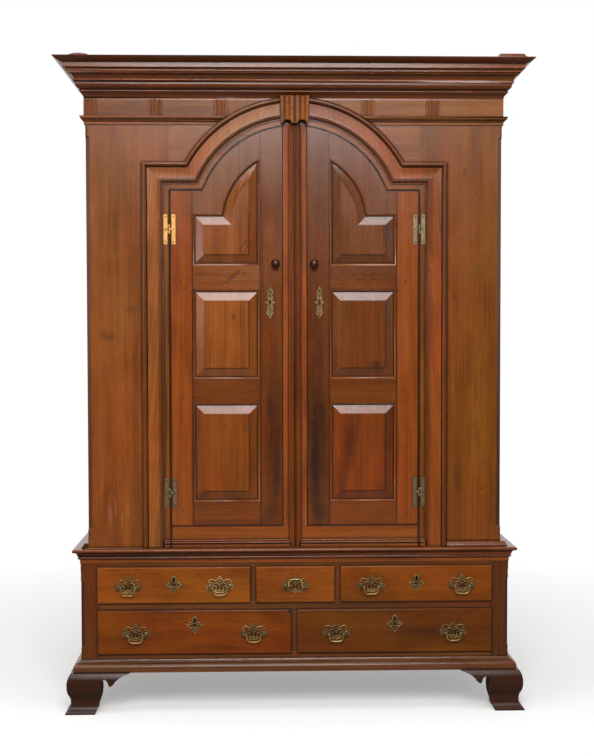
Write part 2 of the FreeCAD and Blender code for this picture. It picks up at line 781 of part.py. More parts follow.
lower_bottom = "foot_height"
stile_right = cut(
    "lower stile right",
    board("lower stile blank", ("drawer_half", "low_half"), ("low_face", "low_frame_back"),
          (lower_bottom, "lower_top - board_thickness")),
    corner_chamfer("lower chamfer", "lower_chamfer", "low_face", "low_half",
                   "(foot_height + base_height + lower_tongue_low)",
                   "(lower_top - waist_height - lower_tongue_high)"))
node("lower_stiles", both_sides("lower_stiles", stile_right))
lower_side = board("lower side right", ("low_inner_half", "low_half"), ("low_frame_back", "back"),
                   (lower_bottom, "lower_top - board_thickness"))
node("lower_sides", both_sides("lower_sides", lower_side))

rail_span = ("-drawer_half", "drawer_half")
rail_depth = ("low_face", "low_frame_back")
low_divider = "-divider_off_centre"
rails = [
    board("bottom rail", rail_span, rail_depth, (lower_bottom, "low_row_bottom")),
    board("middle rail", rail_span, rail_depth, ("low_row_top", "top_row_bottom")),
    board("top rail", rail_span, rail_depth, ("top_row_top", "lower_top - board_thickness")),
    board("low divider", (f"{low_divider} - divider_width / 2", f"{low_divider} + divider_width / 2"),
          rail_depth, ("low_row_bottom", "low_row_top"))]
for side, name in (("-", "left"), ("", "right")):
    edges = [f"{side}middle_half", f"{side}(middle_half + divider_width)"]
    rails.append(board(f"{name} divider", sorted(edges, key=size), rail_depth,
                       ("top_row_bottom", "top_row_top")))
node("drawer_rails", group("drawer_rails", *rails))

inside_depth = ("low_frame_back", "case_back")
node("lower_boards", group(
    "lower_boards",
    board("lower top board", ("-low_half", "low_half"), ("low_face", "back"),
          ("lower_top - board_thickness", "lower_top")),
    board("lower floor", ("-low_inner_half", "low_inner_half"), inside_depth,
          ("low_row_bottom - board_thickness", "low_row_bottom"))))

# Runners carry the upper drawers; guides keep every drawer straight.
DRAWERS = {
    "top_left": ("-drawer_half", "-(middle_half + divider_width)", "top"),
    "top_middle": ("-middle_half", "middle_half", "top"),
    "top_right": ("middle_half + divider_width", "drawer_half", "top"),
    "low_left": ("-drawer_half", f"{low_divider} - divider_width / 2", "low"),
    "low_right": (f"{low_divider} + divider_width / 2", "drawer_half", "low"),
}
ROWS = {
    "top": ("top_row_bottom", "top_row_top"),
    "low": ("low_row_bottom", "low_row_top"),
}
runners = []
guides = [("left end", "-low_inner_half", "-drawer_half", "low"),
          ("low middle", f"{low_divider} - divider_width / 2", f"{low_divider} + divider_width / 2",
           "low"),
          ("right end", "drawer_half", "low_inner_half", "low"),
          ("top left end", "-low_inner_half", "-drawer_half", "top"),
          ("top left", "-(middle_half + divider_width)", "-middle_half", "top"),
          ("top right", "middle_half", "middle_half + divider_width", "top"),
          ("top right end", "drawer_half", "low_inner_half", "top")]
bearing = "2 * drawer_side_thickness"
for name, low, high, row in guides:
    floor = ROWS[row][0]
    runners.append(board(f"guide {name}", (low, high), inside_depth, (floor, f"{floor} + guide")))
    if row == "top":
        left = low if name == "top left end" else f"{low} - {bearing}"
        right = high if name == "top right end" else f"{high} + {bearing}"
        runners.append(board(f"runner {name}", (left, right), inside_depth,
                             (f"{floor} - guide", floor)))
node("drawer_runners", group("drawer_runners", *runners))

# ---------------------------------------------------------------- ogee bracket feet

foot_mid_height = "foot_neck_height + 0.46 * (foot_bulge_height - foot_neck_height)"
foot_mid_reach = "foot_neck_reach + 0.48 * (foot_bulge_reach - foot_neck_reach)"


def ogee(edge, outward):
    """The foot's face: a flared pad, a hollow neck and a swelling knee."""
    turn = 1 if outward == "+" else -1
    reaches = [("-side_thickness", "0"), ("foot_pad_reach", "0"), ("foot_pad_reach", "foot_pad_height"),
               ("foot_neck_reach", "foot_neck_height", -0.95), (foot_mid_reach, foot_mid_height, -1.67),
               ("foot_bulge_reach", "foot_bulge_height", 1.82), ("foot_top_reach", "foot_height", 1.47),
               ("-side_thickness", "foot_height")]
    return [(f"{edge} {outward} ({point[0]})", point[1], *(turn * bend for bend in point[2:]))
            for point in reaches]


def bracket(edge, inward):
    """The scrolled outline of a foot's face, from the outside edge inwards."""
    turn = -1 if inward == "-" else 1
    insets = [("-foot_pad_reach", "foot_height"), ("-foot_pad_reach", "0"), ("foot_face - foot_taper", "0"),
              ("foot_face - foot_taper / 4", "foot_neck_height"),
              ("foot_face", "scroll_height - scroll_width", 1.6),
              ("foot_face + scroll_width", "scroll_height", -0.75),
              ("cusp_inset - 6", "cusp_height + 8", -0.75),
              ("cusp_inset", "cusp_height"), ("cusp_inset + 17", "cusp_height + 17", 1.6),
              ("bracket_length - 8", "foot_height - 4", -1.8), ("bracket_length", "foot_height")]
    return [(f"{edge} {inward} ({point[0]})", point[1], *(turn * bend for bend in point[2:]))
            for point in insets]


front_board = overlap(
    "foot front blank",
    prism("foot front ogee", "side", ogee("low_face", "-"), "low_half - bracket_length",
          "bracket_length + foot_pad_reach"),
    prism("foot front scroll", "front", bracket("low_half", "-"), "low_face - foot_pad_reach",
          "foot_pad_reach + side_thickness"))
side_board = overlap(
    "foot side blank",
    prism("foot side ogee", "front", ogee("low_half", "+"), "low_face - foot_pad_reach",
          "bracket_length + foot_pad_reach"),
    prism("foot side scroll", "side", bracket("low_face", "+"), "low_half - side_thickness",
          "side_thickness + foot_pad_reach"))
mitre_back = ("low_half - side_thickness", "low_face + side_thickness")
mitre_tip = ("low_half + foot_pad_reach", "low_face - foot_pad_reach")
front_mitre = prism("foot front mitre", "plan",
                    [("low_half - bracket_length", mitre_tip[1]), mitre_tip, mitre_back,
                     ("low_half - bracket_length", mitre_back[1])], "0", "foot_height")
side_mitre = prism("foot side mitre", "plan",
                   [mitre_tip, (mitre_tip[0], "low_face + bracket_length"),
                    (mitre_back[0], "low_face + bracket_length"), mitre_back], "0", "foot_height")
back_side_board = overlap(
    "foot back side",
    prism("foot back ogee", "front", ogee("low_half", "+"), "back - bracket_length", "bracket_length"),
    prism("foot back scroll", "side", bracket("back", "-"), "low_half - side_thickness",
          "side_thickness + foot_pad_reach"))
back_bracket = prism(
    "foot back bracket", "front",
    [("low_inner_half", "foot_height"), ("low_half - bracket_length", "foot_height"),
     ("low_half - foot_face - side_thickness", "scroll_height", -1.2),
     ("low_half - foot_face", "0"), ("low_inner_half", "0")],
    "back - side_thickness", "side_thickness")
right_feet = group("right feet", overlap("foot front", front_board, front_mitre),
                   overlap("foot side", side_board, side_mitre), back_side_board, back_bracket)
node("bracket_feet", both_sides("bracket_feet", right_feet))

block_x = ("low_inner_half - foot_block", "low_inner_half")
block_z = ("foot_block_lift", "low_row_bottom - board_thickness")
blocks = [
    board("front block", block_x,
          ("low_frame_back", "low_frame_back + foot_block"), block_z),
    board("back block", block_x, ("back - side_thickness - foot_block", "back - side_thickness"),
          block_z)]
node("foot_blocks", both_sides("foot_blocks", group("right blocks", *blocks)))

# ---------------------------------------------------------------- hinges

hinge_levels = ("top_hinge", "low_hinge")
barrel = "knuckle_height / 3"


def knuckle(label, low, high, toward):
    """A barrel with its arm, on the side (+ or -) of the pin that its leaf is on."""
    outer = rod(f"{label} tube", "z", "knuckle_radius", f"({high}) - ({low})", "hinge_x", "hinge_y", low)
    ends = sorted(["hinge_x", f"hinge_x {toward} 2 * knuckle_radius"], key=size)
    arm = board(f"{label} arm", ends, ("face - hinge_leaf_thickness", "face"), (low, high))
    return fused(f"{label} barrel", outer, arm)


def leaf(label, level, toward):
    """A hinge's flat leaf on the side (+ or -) of its pin."""
    ends = [f"hinge_x {toward} 2 * knuckle_radius",
            f"hinge_x {toward} (2 * knuckle_radius + hinge_leaf_width)"]
    return board(label, sorted(ends, key=size), ("face - hinge_leaf_thickness", "face"),
                 (f"{level} - hinge_height / 2", f"{level} + hinge_height / 2"))


def bored(label, shape, radius, level):
    hole = rod(f"{label} bore", "z", radius, "knuckle_height + 2", "hinge_x", "hinge_y",
               f"{level} - knuckle_height / 2 - 1")
    return cut(label, shape, hole)


case_leaves, door_leaves = [], []
for level in hinge_levels:
    bottom = f"{level} - knuckle_height / 2"
    top = f"{level} + knuckle_height / 2"
    case_leaf = fused(
        f"case leaf {level} blank", leaf(f"case leaf plate {level}", level, "+"),
        knuckle(f"low knuckle {level}", bottom, f"{bottom} + {barrel}", "+"),
        knuckle(f"high knuckle {level}", f"{top} - {barrel}", top, "+"))
    case_leaves.append(bored(f"case leaf {level}", case_leaf, "hinge_pin", level))
    case_leaves.append(rod(f"pin {level}", "z", "hinge_pin", "knuckle_height", "hinge_x", "hinge_y",
                           bottom))
    door_leaf = fused(
        f"door leaf {level} blank", leaf(f"door leaf plate {level}", level, "-"),
        knuckle(f"middle knuckle {level}", f"{bottom} + {barrel} + knuckle_gap",
                f"{top} - {barrel} - knuckle_gap", "-"))
    door_leaves.append(bored(f"door leaf {level}", door_leaf, "hinge_pin + pin_play", level))
node("hinge_case_leaves", both_sides("hinge_case_leaves", group("right case leaves", *case_leaves)))
right_door_leaves = group("right door leaves", *door_leaves)
node("door_right_hinge_leaves", right_door_leaves)
node("door_left_hinge_leaves", mirrored("left door leaves", right_door_leaves))

# ---------------------------------------------------------------- doors

door_depth = ("face", "face + door_thickness")


def half_arch(radius, shoulder, inside, out, bottom):
    """The right-hand half of the arched outline."""
    corner = circle_x(radius, shoulder, "arch_centre")
    peak = f"arch_centre + {circle_x(radius, inside, '0')}"
    return [(inside, bottom), (out, bottom), (out, shoulder), (corner, shoulder),
            (inside, peak, radius)]


def rectangle(inside, out, bottom, top):
    return [(inside, bottom), (out, bottom), (out, top), (inside, top)]


def panel_outline(number, grow):
    """The outline of a panel's opening, grown outwards (or drawn in where grow is negative)."""
    sides = (f"panel_in - ({grow})", f"panel_out + ({grow})")
    if number == 1:
        return half_arch(f"(panel_radius + ({grow}))", f"(panel_shoulder + ({grow}))", *sides,
                         f"top_panel_bottom - ({grow})")
    bottom, top = {2: ("mid_panel_bottom", "mid_panel_top"), 3: ("low_panel_bottom", "low_panel_top")}[number]
    return rectangle(*sides, f"{bottom} - ({grow})", f"{top} + ({grow})")


door_blank = prism("door blank", "front",
                   half_arch("door_radius", "door_shoulder", "door_in", "door_out", "door_bottom"),
                   "face", "door_thickness")
groove_y = "face + sticking + 1"
openings = [prism(f"panel opening {number}", "front", panel_outline(number, "0"), "face",
                  "door_thickness") for number in (1, 2, 3)]
grooves = [prism(f"panel groove {number}", "front", panel_outline(number, "groove_depth"), groove_y,
                 "groove_width") for number in (1, 2, 3)]
all_openings = group("panel openings", *openings)
pierced = cut("pierced door", door_blank, all_openings)
doc.recompute()

# The sticking is a quarter round along the front edge of each panel opening.
front_y = size("face")
sticking = size("sticking")
moulded = named("Part::Fillet", "moulded door")
moulded.Base = pierced
moulded.Edges = [
    (number, sticking, sticking) for number, edge in enumerate(pierced.Shape.Edges, start=1)
    if edge.BoundBox.YMax < front_y + 0.01 and edge.distToShape(all_openings.Shape)[0] < 0.01]
grooved = cut("grooved door", moulded, group("panel grooves", *grooves))

lock_box = board("lock recess", ("door_in", "door_in + lock_width"),
                 ("face + door_thickness - lock_thickness", "face + door_thickness"),
                 ("lock_centre - lock_height / 2", "lock_centre + lock_height / 2"))


def keyhole(label, x, y, depth, z):
    """A round hole with a slot below it, through the front."""
    hole = rod(f"{label} round", "y", "keyhole_radius", depth, x, y, z)
    slot = board(f"{label} slot", (f"{x} - keyhole_radius / 2", f"{x} + keyhole_radius / 2"),
                 (y, f"{y} + {depth}"), (f"{z} - keyhole_slot", z))
    return fused(label, hole, slot)


door_keyhole = keyhole("door keyhole", "keyhole_x", "face - plate_thickness",
                       "plate_thickness + door_thickness - lock_thickness", "lock_centre")
knob_hole = rod("knob hole", "y", "knob_shank", "door_thickness", "knob_x", "face", "knob_height")
frame = cut("door frame", grooved, group("door cuts", lock_box, door_keyhole, knob_hole))


def zone(label, x, z):
    return overlap(label, frame, board(f"{label} zone", x, door_depth, z))


hinge_stile = zone("hinge stile", ("panel_out", "door_out"), ("door_bottom", "door_shoulder"))
lock_stile = zone("lock stile", ("door_in", "panel_in"),
                  ("door_bottom", "arch_centre + door_radius"))
rail_width_span = ("panel_in", "panel_out")
rails = [zone("bottom door rail", rail_width_span, ("door_bottom", "low_panel_bottom")),
         zone("low door rail", rail_width_span, ("low_panel_top", "mid_panel_bottom")),
         zone("high door rail", rail_width_span, ("mid_panel_top", "top_panel_bottom"))]
crown_span = prism("crown zone", "front",
                   [("panel_in", "panel_shoulder"), ("door_out", "panel_shoulder"),
                    ("door_out", "door_shoulder"), ("door_out", "arch_centre + door_radius"),
                    ("panel_in", "arch_centre + door_radius")],
                   "face", "door_thickness")
crown_keep = board("crown side", ("panel_out", "door_out"), door_depth,
                   ("panel_shoulder", "door_shoulder"))
crown = cut("crown rail", overlap("crown rail blank", frame, crown_span), crown_keep)


def panel(number):
    """A fielded panel: a tongue in the groove, a bevel rising from the edge and a flat field."""
    play = "panel_play"
    tongue_front = f"{groove_y} + {play} / 2"
    tongue_thickness = f"groove_width - {play}"
    slab = prism(f"panel {number} slab", "front", panel_outline(number, f"groove_depth - {play}"),
                 tongue_front, tongue_thickness)
    field_front = f"{tongue_front} - panel_rise"
    bevel = named("Part::Loft", f"panel {number} bevel")
    bevel.Sections = [
        sketch(f"panel {number} bevel foot", "front", panel_outline(number, f"-({play})"), y=tongue_front),
        sketch(f"panel {number} bevel head", "front", panel_outline(number, "-panel_bevel"),
               y=f"{field_front} + panel_step")]
    bevel.Ruled = True
    bevel.Solid = True
    field = prism(f"panel {number} field", "front", panel_outline(number, "-panel_bevel"), field_front,
                  "panel_rise")
    return fused(f"panel {number}", slab, bevel, field)


scutcheon_points = [(0, 1), (0.2, 0.8, -1.2), (0.72, 0.68, -0.9), (0.45, 0.5, -0.8), (0.85, 0.3, 0.9),
                    (0.55, 0.12, -0.8), (1, 0, 0.9)]


def brass_plate(label, half_width, above, below, shares, keyhole_height=None):
    """A fretted plate, drawn as shares of its half-width and of its height above and below."""
    upper_right = [(f"{s[0]} * {half_width}", f"{s[1]} * {above if s[1] >= 0 else below}", *s[2:])
                   for s in shares]
    bends = [point[2:] for point in upper_right[1:]]
    left = [(f"-({point[0]})", point[1], *bend)
            for point, bend in zip(upper_right[-2::-1], bends[::-1])]
    outline = upper_right + left[:-1]
    outline[0] = (*outline[0][:2], *bends[0])
    return prism(label, "front", outline, "-plate_thickness", "plate_thickness")


def turned_down(shares):
    """The same outline carried on below the middle, upside down."""
    lower = [(point[0], -point[1], *bend[2:])
             for point, bend in zip(shares[-2::-1], shares[:0:-1])]
    return shares + lower


door_plate = brass_plate("door plate", "door_scutcheon_half", "door_scutcheon_half_height",
                         "door_scutcheon_half_height", turned_down(scutcheon_points))
door_scutcheon = cut("door scutcheon",
                     repeated("door plate in place", door_plate, "keyhole_x", "face", "lock_centre"),
                     door_keyhole)
bolt_channel = board("bolt channel", ("door_in", "door_in + bolt_length + bolt_gap"),
                     (f"{bolt_y[0]} - bolt_gap", f"{bolt_y[1]} + bolt_gap"),
                     (f"{bolt_z[0]} - bolt_gap", f"{bolt_z[1]} + bolt_gap"))
lock_case = cut("lock case", lock_box, bolt_channel)
bolt = board("bolt", ("door_in", "door_in + bolt_length"), bolt_y, bolt_z)

knob_cap = "(knob_radius ^ 2 + knob_dome ^ 2) / (2 * knob_dome)"
knob = turned("knob", [("0", "-(door_thickness)"), ("knob_shank", "-(door_thickness)"),
                       ("knob_shank", "0"), ("knob_radius * 0.68", "0"),
                       ("knob_radius * 0.68", "knob_length * 0.08"),
                       ("knob_radius * 0.42", "knob_length * 0.2"),
                       ("knob_radius * 0.42", "knob_length * 0.38"),
                       ("knob_radius * 0.86", "knob_length * 0.55"),
                       ("knob_radius", "knob_length - knob_dome"),
                       ("0", "knob_length", f"-{knob_cap}")],
              "knob_x", "face", "knob_height")

DOOR_PARTS = {
    "stiles": group("right stiles", hinge_stile, lock_stile),
    "rails": group("right rails", *rails, crown),
    "panels": group("right panels", *(panel(number) for number in (1, 2, 3))),
    "knob": knob,
    "lock": group("right lock", lock_case, door_scutcheon),
    "bolt": bolt,
}
for part_name, shape in DOOR_PARTS.items():
    node(f"door_left_{part_name}", mirrored(f"left {part_name}", shape))
    node(f"door_right_{part_name}", shape)

# ---------------------------------------------------------------- drawer brasses

PULL_PLATE = [(0, 1), (0.16, 0.78, -1.2), (0.4, 0.62, 0.9), (0.62, 0.78, -0.9), (0.98, 0.56, 0.8),
              (0.88, 0.2, -1.1), (1, 0, 0.8), (0.9, -0.34, 0.8), (0.64, -0.44, -0.9), (0.52, -0.4, 1.2),
              (0.26, -0.6, -0.9), (0.12, -0.74, -1.0), (0, -1, -1.2)]
pull_plate = brass_plate("pull plate", "plate_half_width", "plate_above", "plate_below", PULL_PLATE)
piercings = [rod(f"piercing {index}", "y", radius, "3 * plate_thickness", x, "-2 * plate_thickness", z)
             for index, (x, z, radius) in enumerate([
                 ("-plate_half_width * 0.42", "plate_above * 0.3", "3.2"),
                 ("plate_half_width * 0.42", "plate_above * 0.3", "3.2"),
                 ("-plate_half_width * 0.3", "-plate_below * 0.2", "2.6"),
                 ("plate_half_width * 0.3", "-plate_below * 0.2", "2.6"),
                 ("0", "-plate_below * 0.55", "2.4")])]
piercings += [rod(f"{side} post seat", "y", "post_shank", "3 * plate_thickness",
                  f"{sign}post_spacing / 2", "-2 * plate_thickness", "0")
              for side, sign in (("left", "-"), ("right", ""))]
pierced_plate = cut("pierced plate", pull_plate, group("piercings", *piercings))
post_end = "drawer_front_thickness + lip_thickness"
post = turned("post", [("0", f"-({post_end})"), ("post_shank", f"-({post_end})"),
                       ("post_shank", "plate_thickness"), ("post_head * 1.25", "plate_thickness"),
                       ("post_head * 0.6", "plate_thickness + 2.6"),
                       ("post_head * 0.6", "bail_axis_height - post_head * 0.72"),
                       ("post_head", "bail_axis_height - post_head * 0.3"),
                       ("post_head", "bail_axis_height + post_head * 0.3"),
                       ("post_head * 0.55", "bail_axis_height + post_head * 0.85"),
                       ("0", "bail_axis_height + post_head")],
              "post_spacing / 2", "0", "0")
pin_hole = rod("pin hole", "x", "bail_pin + pin_gap", "post_spacing / 2", "bail_half_width",
               "-bail_axis_height", "0")
right_post = cut("right post", post, pin_hole)
posts = both_sides("posts", right_post)
pull_mount = group("pull mount", pierced_plate, posts)
keyed_plate = cut("keyed plate", pierced_plate,
                  keyhole("plate keyhole", "0", "-plate_thickness", "plate_thickness",
                          "plate_above * 0.55"))
keyed_mount = group("keyed mount", keyed_plate, posts)


def bail_arm(side):
    """One arm of the bail from its pin: a tight bend, a straight drop and the sweep to the grip."""
    return [(f"{side}(bail_half_width + bail_bend)", "0"), (f"{side}bail_half_width", "-bail_bend"),
            (f"{side}bail_half_width", "-(bail_drop - bail_sweep)"),
            (f"{side}(bail_half_width - bail_sweep)", "-bail_drop")]


# The bail is drawn about its own axis. A quarter circle's radius is this share of its chord.
quarter = math.sqrt(0.5)
left_arm, right_arm = bail_arm("-"), bail_arm("")
bail_path = sketch("bail path", "front", [
    left_arm[0], (*left_arm[1], -quarter), left_arm[2], (*left_arm[3], quarter), right_arm[3],
    (*right_arm[2], quarter), right_arm[1], (*right_arm[0], -quarter)], closed=False)
bail_section = named("Part::RegularPolygon", "bail section")
bail_section.Polygon = 8
bail_section.Placement = Placement(Vector(), Rotation(Vector(0, 1, 0), 90))
place(bail_section, left_arm[0][0])
bail_section.setExpression("Circumradius", bound("bail_rod"))
doc.recompute()
loop = named("Part::Sweep", "bail loop")
loop.Sections = [bail_section]
loop.Spine = (bail_path, [f"Edge{number + 1}" for number in range(len(bail_path.Shape.Edges))])
loop.Solid = True
bail_pin = rod("bail pin", "x", "bail_pin", "post_spacing / 2 - bail_half_width - bail_bend",
               "bail_half_width + bail_bend", "0", "0")
hanging_bail = fused("hanging bail", loop, bail_pin, mirrored("left bail pin", bail_pin))
standing_bail = group("standing bail", hanging_bail)
standing_bail.Placement = Placement(Vector(), Rotation(Vector(1, 0, 0), 180 - size("bail_lean")))
standing_bail.setExpression("Placement.Rotation.Angle", bound("180 - bail_lean"))

drawer_plate = brass_plate("drawer scutcheon blank", "drawer_scutcheon_half",
                           "drawer_scutcheon_above", "drawer_scutcheon_below", PULL_PLATE)
drawer_scutcheon = cut(
    "drawer scutcheon", drawer_plate,
    keyhole("scutcheon keyhole", "0", "-plate_thickness", "plate_thickness", "drawer_keyhole_rise"))

# ---------------------------------------------------------------- drawers

lip_front = "low_face - lip_thickness"
front_back = "low_face + drawer_front_thickness"
for name, (left, right, row) in DRAWERS.items():
    bottom, top = ROWS[row]
    middle_x = f"(({left}) + ({right})) / 2"
    middle_z = f"({bottom} + {top}) / 2"
    opening_x = (f"{left} + drawer_gap", f"{right} - drawer_gap")
    lip_board = board(f"{name} lip blank", (f"{left} - lip", f"{right} + lip"), (lip_front, "low_face"),
                      (f"{bottom} - lip", f"{top} + lip"))
    inner = board(f"{name} front inner", opening_x, ("low_face", front_back),
                  (f"{bottom} + running_gap", f"{top} - drawer_gap"))
    doc.recompute()
    rounded = named("Part::Fillet", f"{name} lip")
    rounded.Base = lip_board
    lip_y = size(lip_front)
    rounded.Edges = [(number, size("lip_round"), size("lip_round"))
                     for number, edge in enumerate(lip_board.Shape.Edges, start=1)
                     if edge.BoundBox.YMax < lip_y + 0.01]
    panel_x = (f"{opening_x[0]} + drawer_side_thickness / 2",
               f"{opening_x[1]} - drawer_side_thickness / 2")
    bottom_z = f"{bottom} + running_gap + drawer_side_thickness / 2"
    box_back = "low_face + drawer_length"
    tray = board(f"{name} bottom", panel_x, (f"{front_back} - drawer_side_thickness / 2", box_back),
                 (bottom_z, f"{bottom_z} + drawer_bottom_thickness"))
    side_z = (f"{bottom} + running_gap", f"{top} - 2 * drawer_gap")
    sides = [board(f"{name} {which}", x, (front_back, box_back), side_z)
             for which, x in (
                 ("left", (opening_x[0], f"{opening_x[0]} + drawer_side_thickness")),
                 ("right", (f"{opening_x[1]} - drawer_side_thickness", opening_x[1])))]
    end = board(f"{name} back", (f"{opening_x[0]} + drawer_side_thickness",
                                 f"{opening_x[1]} - drawer_side_thickness"),
                (f"{box_back} - drawer_side_thickness", box_back),
                (f"{bottom_z} + drawer_bottom_thickness", side_z[1]))
    pull_offset = {"top": "top_pull_offset", "low": "low_pull_offset"}[row]
    pull_z = f"{middle_z} - pull_drop"
    centred = name == "top_middle"
    pulls = [middle_x] if centred else [f"{middle_x} - {pull_offset}", f"{middle_x} + {pull_offset}"]
    key_z = f"{pull_z} + plate_above * 0.55" if centred else f"{middle_z} + drawer_keyhole_rise"
    key_cut = keyhole(f"{name} keyhole", middle_x, lip_front, "lip_thickness + drawer_front_thickness",
                      key_z)
    post_cuts = []
    for pull_x in pulls:
        for side in ("-", "+"):
            post_cuts.append(rod(f"{name} post hole {len(post_cuts)}", "y", "post_shank", post_end,
                                 f"{pull_x} {side} post_spacing / 2", lip_front, pull_z))
    whole = fused(f"{name} front blank", rounded, inner)
    node(f"drawer_{name}_front", cut(f"{name} front", whole,
                                     group(f"{name} front cuts", tray, key_cut, *post_cuts)))
    node(f"drawer_{name}_box", group(
        f"{name} box", *(cut(f"{piece.Label} grooved", piece, tray) for piece in sides), end, tray))
    brasses = [repeated(f"{name} pull mount {number}", keyed_mount if centred else pull_mount,
                        pull_x, lip_front, pull_z) for number, pull_x in enumerate(pulls, start=1)]
    if not centred:
        brasses.append(repeated(f"{name} scutcheon", drawer_scutcheon, middle_x, lip_front, middle_z))
    lock_half = "lock_width / 2"
    brasses.append(board(f"{name} lock", (f"{middle_x} - {lock_half}", f"{middle_x} + {lock_half}"),
                         (front_back, f"{front_back} + lock_thickness / 2"),
                         (f"{key_z} - 1.6 * keyhole_slot", f"{top} - 2 * drawer_gap")))
    node(f"drawer_{name}_brasses", group(f"{name} brasses", *brasses))
    for number, pull_x in enumerate(pulls, start=1):
        node(f"drawer_{name}_bail_{number}",
             repeated(f"{name} bail {number}", standing_bail if centred else hanging_bail,
                      pull_x, f"{lip_front} - bail_axis_height", pull_z))

# ---------------------------------------------------------------- checks and files

doc.recompute()
for thing in doc.Objects:
    if "Invalid" in thing.State or "Error" in thing.State:
        raise RuntimeError(f"{thing.Label} failed: {thing.State}")
os.makedirs("parts", exist_ok=True)
for name, shape in NODES.items():
    solid = shape.Shape
    if solid.isNull() or not solid.isValid() or not solid.Solids:
        raise RuntimeError(f"{name} has no valid solid")
    solid.exportStep(f"parts/{name}.step")
    print(name, len(solid.Solids), "solids", round(solid.Volume / 1e3, 1), "cm3")
print(len(NODES), "nodes")
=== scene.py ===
import bmesh
import bpy
import json
import math
import numpy as np
from mathutils import Matrix, Vector


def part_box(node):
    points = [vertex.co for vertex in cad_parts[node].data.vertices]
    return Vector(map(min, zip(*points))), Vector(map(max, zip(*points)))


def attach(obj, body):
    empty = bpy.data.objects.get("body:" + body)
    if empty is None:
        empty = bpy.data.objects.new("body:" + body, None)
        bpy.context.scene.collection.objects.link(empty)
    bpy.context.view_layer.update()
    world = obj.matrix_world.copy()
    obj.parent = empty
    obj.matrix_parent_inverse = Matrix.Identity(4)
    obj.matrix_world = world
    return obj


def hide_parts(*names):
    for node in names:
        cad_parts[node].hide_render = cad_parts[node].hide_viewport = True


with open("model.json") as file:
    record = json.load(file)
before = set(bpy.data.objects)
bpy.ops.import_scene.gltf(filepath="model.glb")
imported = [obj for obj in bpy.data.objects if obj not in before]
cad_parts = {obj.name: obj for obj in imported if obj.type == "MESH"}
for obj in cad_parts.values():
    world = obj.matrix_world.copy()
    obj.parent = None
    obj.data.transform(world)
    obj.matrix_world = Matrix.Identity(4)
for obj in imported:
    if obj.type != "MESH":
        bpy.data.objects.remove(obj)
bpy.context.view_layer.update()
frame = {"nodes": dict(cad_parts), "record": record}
nodeOf = frame["nodes"]
bodyOf = {node: body for body, nodes in frame["record"]["behaviour"]["bodies"].items()
          for node in nodes}
jointPlaces = {joint["name"]: joint["pos_m"] for joint in frame["record"]["behaviour"]["joints"]
               if joint["type"] == "hinge"}
bails = {name: place for name, place in jointPlaces.items() if name.startswith("bail_")}
sides = {"left": -1, "right": 1}
drawers = ("top_left", "top_middle", "top_right", "low_left", "low_right")
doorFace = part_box("door_left_stiles")[0][1]
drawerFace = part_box("drawer_top_left_front")[0][1]
keyhole = {                               # metres
    "rise": 0.018,                        # of the hole above the middle of a drawer's front
    "lowLift": 0.021,                     # how far the holes of the lower drawers go up
    "reach": (0.006, 0.014),              # half the space round the hole, across and up
    "plateDrop": 0.015,                   # of the plate's middle below the hole
    "doorPlace": (0.0805, 1.329),         # away from the middle, and up
    # half width, half height, strength and softness of the painted shade in a hole
    "drawerDark": (0.0042, 0.0085, 1.0, 0.3), "doorDark": (0.0034, 0.0085, 1.0, 0.3),
    # the same for the dirt round a plate, with a turn before the softness
    "plateDirt": (0.021, 0.023, 0.75, 0, 0.7), "pullDirt": (0.034, 0.023, 0.75, 0, 0.6),
    "pullRise": 0.003,                    # of a pull's dirt above its posts
}
keyPlaces = {}       # drawer to the middle of its keyhole, before the lift
for drawer in drawers:
    if drawer != "top_middle":
        low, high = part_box(f"drawer_{drawer}_front")
        keyPlaces[drawer] = Vector(((low[0] + high[0]) / 2, low[1],
                                    (low[2] + high[2]) / 2 + keyhole["rise"]))
keyLifts = {drawer: keyhole["lowLift"] if drawer.startswith("low") else 0.0 for drawer in keyPlaces}
print("frame loaded:", len(nodeOf), "nodes")

# ---- node trees ----


def newObject(name, data):
    made = bpy.data.objects.new(name, data)
    bpy.context.scene.collection.objects.link(made)
    return made


def newMaterial(name):
    material = bpy.data.materials.new(name)
    material.use_nodes = True
    tree = material.node_tree
    return material, tree, tree.nodes["Principled BSDF"]


def addNode(tree, kind, inputs=None, **settings):
    made = tree.nodes.new(kind)
    for name, value in settings.items():
        setattr(made, name, value)
    for socket, value in (inputs or {}).items():
        if isinstance(value, bpy.types.NodeSocket):
            tree.links.new(value, made.inputs[socket])
        else:
            made.inputs[socket].default_value = value
    return made


def mathNode(tree, operation, first, second=0.5, third=0.0, clamp=False):
    made = addNode(tree, "ShaderNodeMath", {0: first, 1: second, 2: third}, operation=operation)
    made.use_clamp = clamp
    return made.outputs[0]


def multiply(tree, first, second):
    return mathNode(tree, "MULTIPLY", first, second)


def timesAdd(tree, first, second, third, clamp=False):
    return mathNode(tree, "MULTIPLY_ADD", first, second, third, clamp)


def ramp(tree, factor, low, high, toLow=0.0, toHigh=1.0):
    made = addNode(tree, "ShaderNodeMapRange", {"Value": factor, "From Min": low, "From Max": high,
                                                "To Min": toLow, "To Max": toHigh})
    return made.outputs[0]


def mixColour(tree, factor, first, second, blend="MIX"):
    inputs = {socket: (*value, 1.0) if isinstance(value, tuple) else value
              for socket, value in ((0, factor), (6, first), (7, second))}
    return addNode(tree, "ShaderNodeMix", inputs, data_type="RGBA", blend_type=blend).outputs[2]


def stretched(tree, vector, scale):
    return addNode(tree, "ShaderNodeMapping", {"Vector": vector, "Scale": scale}).outputs[0]


def boardField(tree, name, output):
    return addNode(tree, "ShaderNodeAttribute", attribute_name=name).outputs[output]


